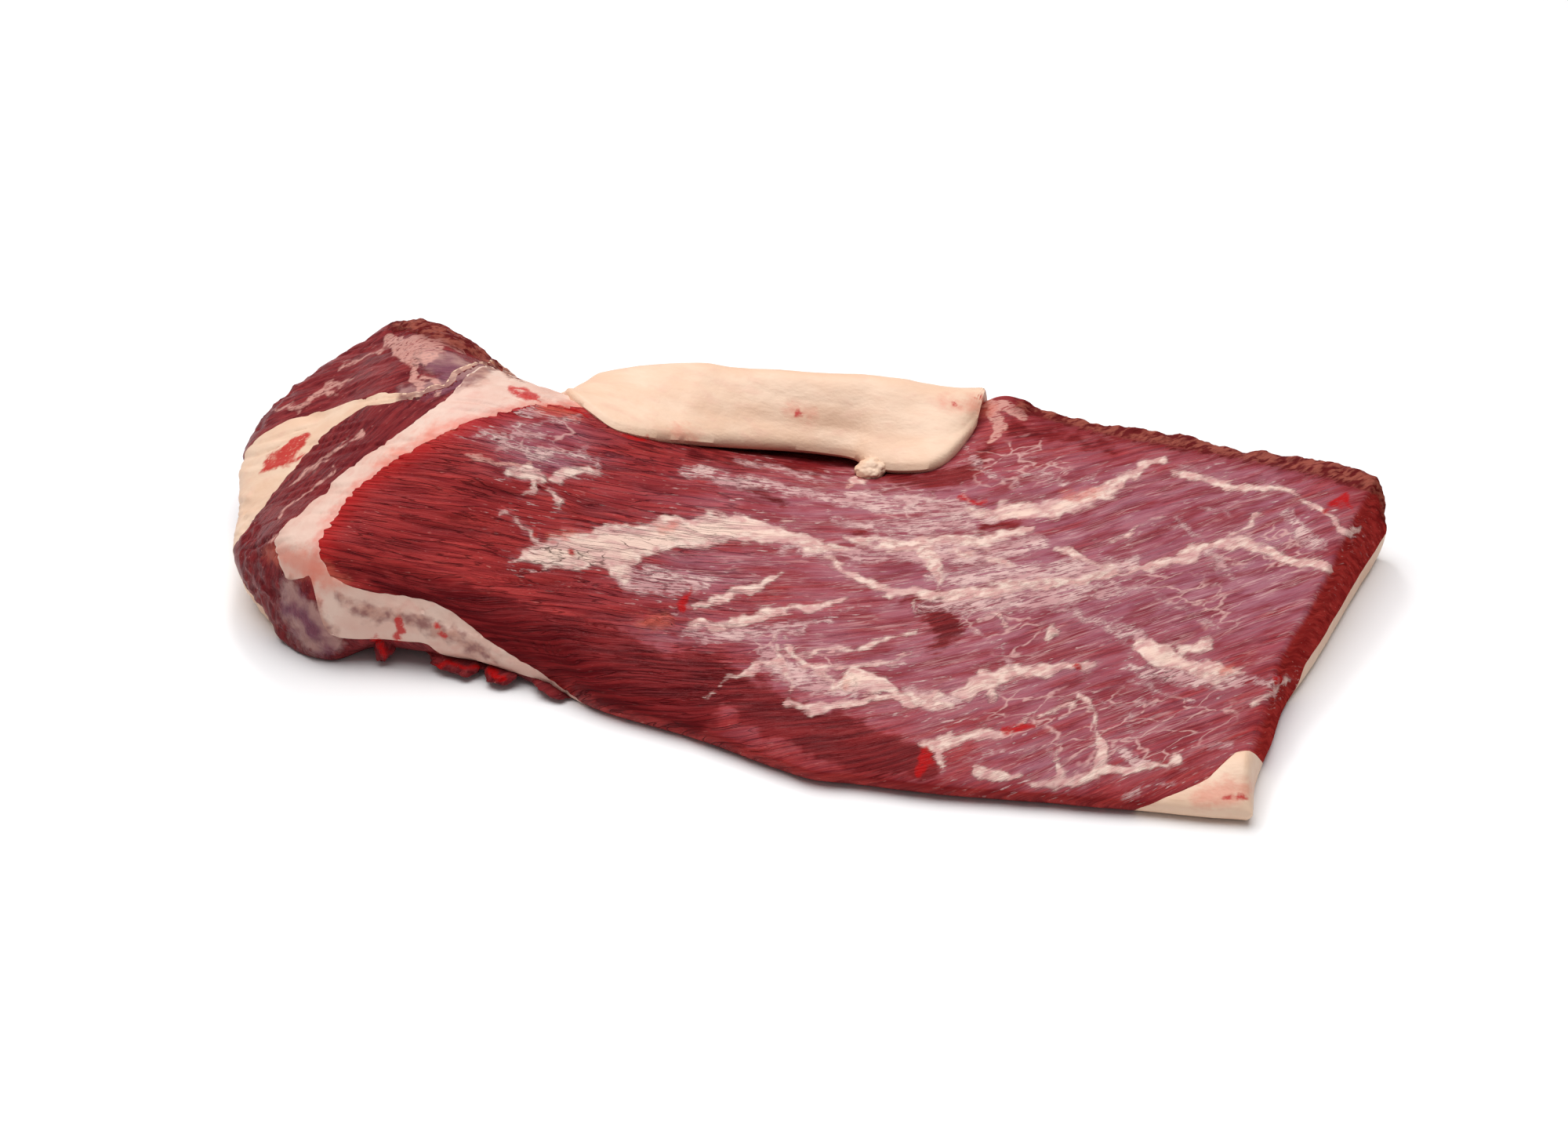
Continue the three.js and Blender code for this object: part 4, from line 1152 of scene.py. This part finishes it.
def lean_material(name, deep, red, pale, rim=0.0, gloss=0.08):
    """Lean meat in three tones. Rim is how much it reddens along the seam of fat."""
    s = Shader(name)
    # Noises along the fibres.
    fibre = s.place()
    bundles = s.noise(fibre, (30, 2.2, 6), 0)
    threads = s.noise(fibre, (11, 0.7, 2.5), 1)
    clouds = s.noise(fibre, (26, 14, 14), 2)
    fine = s.noise(fibre, (3, 1.2, 1.5), 3, detail=4.0)
    blots = s.noise(fibre, (5, 3.5, 4), 11, detail=4.0)
    wisps = s.noise(fibre, (18, 1.6, 4), 7, detail=5.0)
    streaks = s.noise(fibre, (9, 1.1, 3), 12, detail=5.0)
    mist = s.noise(fibre, (24, 7, 9), 13, detail=6.0)

    # Bundles of fibres, pale flecks with painted glints, and cracks darkened with painted shade.
    base = s.mix(s.between(bundles, 0.3, 0.7), deep, red)
    base = s.mix(s.times(s.between(threads, 0.5, 0.8), 0.3), base, pale)
    base = s.mix(s.times(s.between(clouds, 0.35, 0.75), 0.5), base, deep)
    # Pale flecks: connective tissue, and painted glints where the wet lean catches small highlights.
    flecks_and_glints = s.noise(fibre, (4.5, 0.9, 1.5), 5, detail=1.0)
    base = s.mix(s.times(s.between(flecks_and_glints, 0.71, 0.78), 0.6), base, colour(206, 130, 120))
    left = s.between(s.field("left"), 0.3, 0.8)
    sparse = s.between(s.noise(fibre, (22, 9, 9), 10), 0.4, 0.65)
    # Painted shade in the cracks: soft over the relief's own cracks, sharp along thin wavy lines between
    # the bundles.
    long_cracks = s.times(s.lines(fibre, (52, 3.6, 8), 4, 0.02), left)
    hairlines = s.times(s.lines(fibre, (18, 1.7, 4), 14, 0.025), s.between(clouds, 0.6, 0.4))
    broad_crack_shade = s.between(s.field("crack_and_shade"), 0.1, 0.9)
    crack_and_shade = s.math("MAXIMUM", s.times(long_cracks, 0.8), s.times(hairlines, 0.2))
    base = s.mix(s.times(broad_crack_shade, 0.4), base, colour(70, 8, 14))
    base = s.mix(s.times(crack_and_shade, 0.75), base, colour(58, 6, 12))
    red_rim = s.between(s.plus(s.math("ABSOLUTE", s.field("border")), s.times(bundles, 12)), 18, 5)
    base = s.mix(s.times(red_rim, rim), base, colour(186, 28, 26))

    # Silverskin, dark lean with painted shade, and membrane.
    grey = s.mark("grey", blots, 12, -8, 5)
    # Dark lean, and painted shade under the flap and its lip and below the dried edge.
    dark_lean_and_shade = s.mark("dark_lean_and_shade", s.plus(s.times(wisps, 0.5), s.times(blots, 0.5)), 22, -8, 6)
    bare = s.plus(1.0, s.times(dark_lean_and_shade, -0.9))
    film = s.times(s.field("film"), bare)
    film_colour = s.mix(s.between(mist, 0.35, 0.6), colour(122, 50, 62), colour(154, 90, 108))
    film_colour = s.mix(s.times(s.between(threads, 0.4, 0.7), 0.35), film_colour, colour(174, 122, 134))
    base = s.mix(s.times(film, s.between(clouds, 0.05, 0.5), 0.85), base, film_colour)
    dark_lean_and_shade_colour = s.mix(s.between(bundles, 0.35, 0.65), colour(76, 10, 16), colour(112, 24, 28))
    base = s.mix(s.times(dark_lean_and_shade, 0.8), base, dark_lean_and_shade_colour)
    membrane = s.mix(s.between(clouds, 0.35, 0.62), colour(124, 76, 92), colour(182, 142, 134))
    base = s.mix(s.times(grey, 0.85), base, membrane)
    pale_lines = s.math(
        "MAXIMUM", s.lines(fibre, (44, 3.4, 6), 6, 0.035), s.lines(fibre, (24, 1.8, 5), 9, 0.03)
    )
    base = s.mix(s.times(film, pale_lines, sparse, 0.6), base, colour(214, 172, 168))
    haze = s.times(film, s.between(s.plus(s.times(mist, 0.6), s.times(wisps, 0.4)), 0.49, 0.6))
    base = s.mix(s.times(haze, 0.25), base, colour(186, 142, 150))
    net_place = s.warped(fibre, (12, 9, 9), 12.0)
    strands = s.between(s.cells(net_place, (22, 11, 12)), s.plus(0.02, s.times(blots, 0.1)), 0.0)
    net = s.times(strands, s.between(s.field("net"), 8, -12), s.between(blots, 0.32, 0.5))
    base = s.mix(s.times(net, 0.75), base, colour(212, 166, 160))

    # Veils, threads, flakes and patches of fat.
    halo = s.between(s.plus(s.field("fat"), s.times(s.plus(wisps, -0.5), 50)), 8, -8)
    base = s.mix(s.times(halo, s.between(blots, 0.3, 0.6), bare, 0.3), base, colour(188, 142, 148))
    feather = s.plus(s.times(streaks, 0.6), s.times(blots, 0.4))
    veil = s.mark("veil", feather, 22, -4, 2)
    torn = s.between(feather, 0.43, 0.5)
    base = s.mix(s.times(veil, 0.25), base, colour(180, 124, 134))
    sheet = s.mix(s.between(mist, 0.4, 0.6), colour(196, 148, 148), colour(220, 184, 178))
    base = s.mix(s.times(veil, torn, 0.9), base, sheet)
    thread = s.mark("thread", blots, 4, -1.5, 2)
    base = s.mix(s.times(thread, s.between(fine, 0.3, 0.5), 0.8), base, colour(214, 158, 146))
    flakes = s.noise(fibre, (7, 1.6, 3), 15, detail=3.0)
    near_fat = s.between(s.math("MINIMUM", s.field("fat"), s.field("veil")), 36, 4)
    flake = s.times(s.between(flakes, 0.61, 0.68), near_fat, s.between(clouds, 0.4, 0.6))
    base = s.mix(s.times(flake, bare, 0.8), base, colour(212, 176, 172))
    ragged = s.mark("fat", feather, 19, -4, 1)
    core = s.times(s.between(s.field("fat"), 1, -4), s.between(s.plus(streaks, blots), 0.8, 0.95))
    fat = s.math("MAXIMUM", ragged, core)
    fat_colour = s.mix(s.between(blots, 0.35, 0.65), colour(208, 158, 152), colour(236, 208, 194))
    fat_colour = s.mix(s.between(s.field("fat"), -5, -14), fat_colour, colour(238, 206, 190))
    fat_colour = s.mix(s.times(s.between(mist, 0.5, 0.62), 0.5), fat_colour, colour(194, 136, 138))
    base = s.mix(s.times(fat, 0.95), base, fat_colour)
    # Blushes, crazing, blood, painted shade along the dried edges, and the dried edges.
    blush = s.mark("blush", blots, 14, -10, 6)
    base = s.mix(s.times(blush, 0.5), base, colour(208, 104, 84))
    craze_place = s.warped(fibre, (14, 6, 8), 8.0)
    craze_lines = s.between(s.cells(craze_place, (16, 3.4, 5)), 0.045, 0.01)
    craze = s.times(craze_lines, s.between(s.field("craze"), 4, -4))
    broken = s.between(fine, 0.36, 0.56)
    base = s.mix(s.times(craze, broken, 0.8), base, colour(92, 62, 56))
    stain = s.mark("stain", s.plus(s.times(blots, 0.5), s.times(fine, 0.5)), 7, -3, 2)
    base = s.mix(s.times(stain, s.between(fine, 0.2, 0.5), 0.9), base, colour(176, 12, 14))
    crumb = s.noise(fibre, (6, 3.6, 3.6), 8, detail=4.0)
    # Painted shade: a dark red band along the dried edges, for the shade under them.
    painted_shade_under_dry = s.between(s.plus(s.field("dry"), s.times(blots, 12)), 18, 4)
    base = s.mix(s.times(painted_shade_under_dry, 0.5), base, colour(110, 12, 14))
    dry = s.mark("dry", crumb, 14, -3, 3)
    dry_colour = s.mix(s.between(crumb, 0.4, 0.58), colour(92, 22, 22), colour(152, 82, 68))
    base = s.mix(s.times(dry, 0.85), base, dry_colour)

    roughness = s.plus(0.22, s.times(fine, 0.22), s.times(dry, 0.35))
    calm = s.plus(1.0, s.times(film, -0.7))
    height = s.plus(
        s.times(s.plus(s.times(bundles, 0.9), s.times(threads, 0.4)), calm), s.times(crack_and_shade, -1.0),
        s.times(fat, 0.6), s.times(flake, 0.4), s.times(fine, 0.3), s.times(dry, crumb, 2.0),
        s.times(craze, -0.4), s.times(veil, torn, 0.35), s.times(net, 0.3), s.times(haze, 0.2),
        s.times(thread, 0.3),
        s.times(grey, mist, 3.0), s.times(grey, blots, 1.5),
    )
    constants = {"Specular IOR Level": gloss, "Specular Tint": (1.0, 0.35, 0.35, 1.0)}
    return s.finish(base, roughness, height, 0.6, constants)


def fat_material(name, light, warm, pink, rim=0.0):
    """Fat in three tones. Rim is how much it reddens along the flat muscle."""
    s = Shader(name)
    fibre = s.place()
    clouds = s.noise(fibre, (30, 16, 16), 0)
    soft = s.noise(fibre, (9, 5, 5), 1)
    fine = s.noise(fibre, (2.4, 1.4, 1.4), 2, detail=4.0)
    blots = s.noise(fibre, (6, 4.5, 5), 4, detail=4.0)
    base = s.mix(s.between(clouds, 0.3, 0.7), light, warm)
    base = s.mix(s.times(s.between(soft, 0.5, 0.75), 0.4), base, pink)
    near_seam = s.between(s.plus(s.math("ABSOLUTE", s.field("border")), s.times(blots, 12)), 12, 5)
    base = s.mix(s.times(near_seam, rim), base, colour(214, 100, 84))
    wisps = s.noise(fibre, (10, 2.4, 4), 3, detail=4.0)
    grey = s.mark("grey", blots, 14, -8, 6)
    grey_colour = s.mix(s.between(soft, 0.4, 0.62), colour(136, 80, 76), colour(184, 134, 118))
    base = s.mix(s.times(grey, 0.9), base, grey_colour)
    ragged = s.plus(s.times(blots, 0.6), s.times(fine, 0.4))
    blush = s.mark("blush", ragged, 22, -14, 10)
    base = s.mix(s.times(blush, 0.6), base, colour(222, 126, 104))
    stain = s.mark("stain", ragged, 8, -3, 2)
    base = s.mix(s.times(stain, s.between(fine, 0.2, 0.42), 0.95), base, colour(190, 22, 16))
    crumb = s.noise(fibre, (3.5, 2.2, 2.2), 8, detail=4.0)
    dry = s.mark("dry", crumb, 10, -3, 3)
    dry_colour = s.mix(s.between(crumb, 0.35, 0.65), colour(96, 34, 26), colour(164, 92, 66))
    base = s.mix(s.times(dry, 0.85), base, dry_colour)
    roughness = s.plus(0.42, s.times(fine, 0.2))
    height = s.plus(s.times(soft, 1.0), s.times(fine, 0.4), s.times(wisps, 0.3), s.times(grey, blots, 2.0))
    return s.finish(base, roughness, height, 0.4, {"Specular IOR Level": 0.45})


def make_materials():
    """A material for each tissue, and one for the cut face of the flat end."""
    flat = colour(120, 26, 30), colour(170, 54, 52), colour(194, 90, 82)
    cut_face = colour(132, 30, 30), colour(176, 54, 50), colour(204, 96, 84)
    point = colour(96, 26, 32), colour(138, 46, 48), colour(176, 96, 92)
    outer = colour(100, 28, 34), colour(148, 54, 56), colour(190, 106, 100)
    cream = colour(236, 203, 177), colour(230, 190, 161), colour(228, 178, 156)
    seam = colour(226, 194, 178), colour(218, 174, 158), colour(214, 148, 134)
    return {
        "flat_muscle": lean_material("flat_lean", *flat, rim=0.6),
        "cut_face": lean_material("cut_lean", *cut_face, gloss=0.0),
        "point_muscle": lean_material("point_lean", *point),
        "outer_lean": lean_material("outer_lean", *outer),
        "seam_fat": fat_material("seam_fat", *seam, rim=0.65),
        "fat_cap": fat_material("cap_fat", *cream),
    }


def add_pieces():
    materials = make_materials()
    for name, mesh in make_tissues().items():
        mesh.shade_smooth()
        mesh.set_sharp_from_angle(angle=math.radians(50))
        paint(mesh, name)
        points = (points_of(mesh) + DRAWING_ORIGIN) * MM
        mesh.vertices.foreach_set("co", points.ravel())
        mesh.update()
        piece = new_object(name + "_tissue", mesh)
        mesh.materials.clear()
        mesh.materials.append(materials[name])
        if name == "flat_muscle":
            mesh.materials.append(materials["cut_face"])
            facing = [polygon.normal.x > 0.6 for polygon in mesh.polygons]
            mesh.polygons.foreach_set("material_index", facing)
        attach(piece, "root")
        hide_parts(name)


def add_camera():
    back = camera_axes()[2]
    place = (CAMERA_TARGET + back * CAMERA_DISTANCE + DRAWING_ORIGIN) * MM
    camera = bpy.data.objects.new("camera", bpy.data.cameras.new("camera"))
    camera.data.lens, camera.data.sensor_width = CAMERA_LENS, SENSOR_WIDTH
    camera.data.clip_start, camera.data.clip_end = 0.01, 20
    camera.location = place
    camera.rotation_mode = "QUATERNION"
    camera.rotation_quaternion = Vector(-back).to_track_quat("-Z", "Y")
    bpy.context.scene.collection.objects.link(camera)
    bpy.context.scene.camera = camera


def add_lamp(name, place, energy, size):
    """A round lamp that faces the origin."""
    data = bpy.data.lights.new(name, "AREA")
    data.energy = energy
    data.shape = "DISK"
    data.size = size
    lamp = bpy.data.objects.new(name, data)
    lamp.location = place
    lamp.rotation_mode = "QUATERNION"
    lamp.rotation_quaternion = (-Vector(place)).to_track_quat("-Z", "Y")
    bpy.context.scene.collection.objects.link(lamp)


def add_studio():
    world = bpy.data.worlds.new("studio")
    world.use_nodes = True
    world.node_tree.nodes["Background"].inputs["Color"].default_value = (1, 1, 1, 1)
    world.node_tree.nodes["Background"].inputs["Strength"].default_value = WORLD_STRENGTH
    bpy.context.scene.world = world
    bpy.context.scene.view_settings.view_transform = "Standard"
    for name, lamp in LAMPS.items():
        add_lamp(name, *lamp)
    mesh = bpy.data.meshes.new("floor")
    corners = [(x * FLOOR_REACH, y * FLOOR_REACH, 0) for x, y in ((-1, -1), (1, -1), (1, 1), (-1, 1))]
    mesh.from_pydata(corners, [], [(0, 1, 2, 3)])
    floor = new_object("floor", mesh)
    material = bpy.data.materials.new("floor")
    material.use_nodes = True
    shader = material.node_tree.nodes["Principled BSDF"]
    shader.inputs["Base Color"].default_value = FLOOR_COLOUR
    shader.inputs["Roughness"].default_value = FLOOR_ROUGHNESS
    mesh.materials.append(material)


add_camera()
add_studio()
add_pieces()
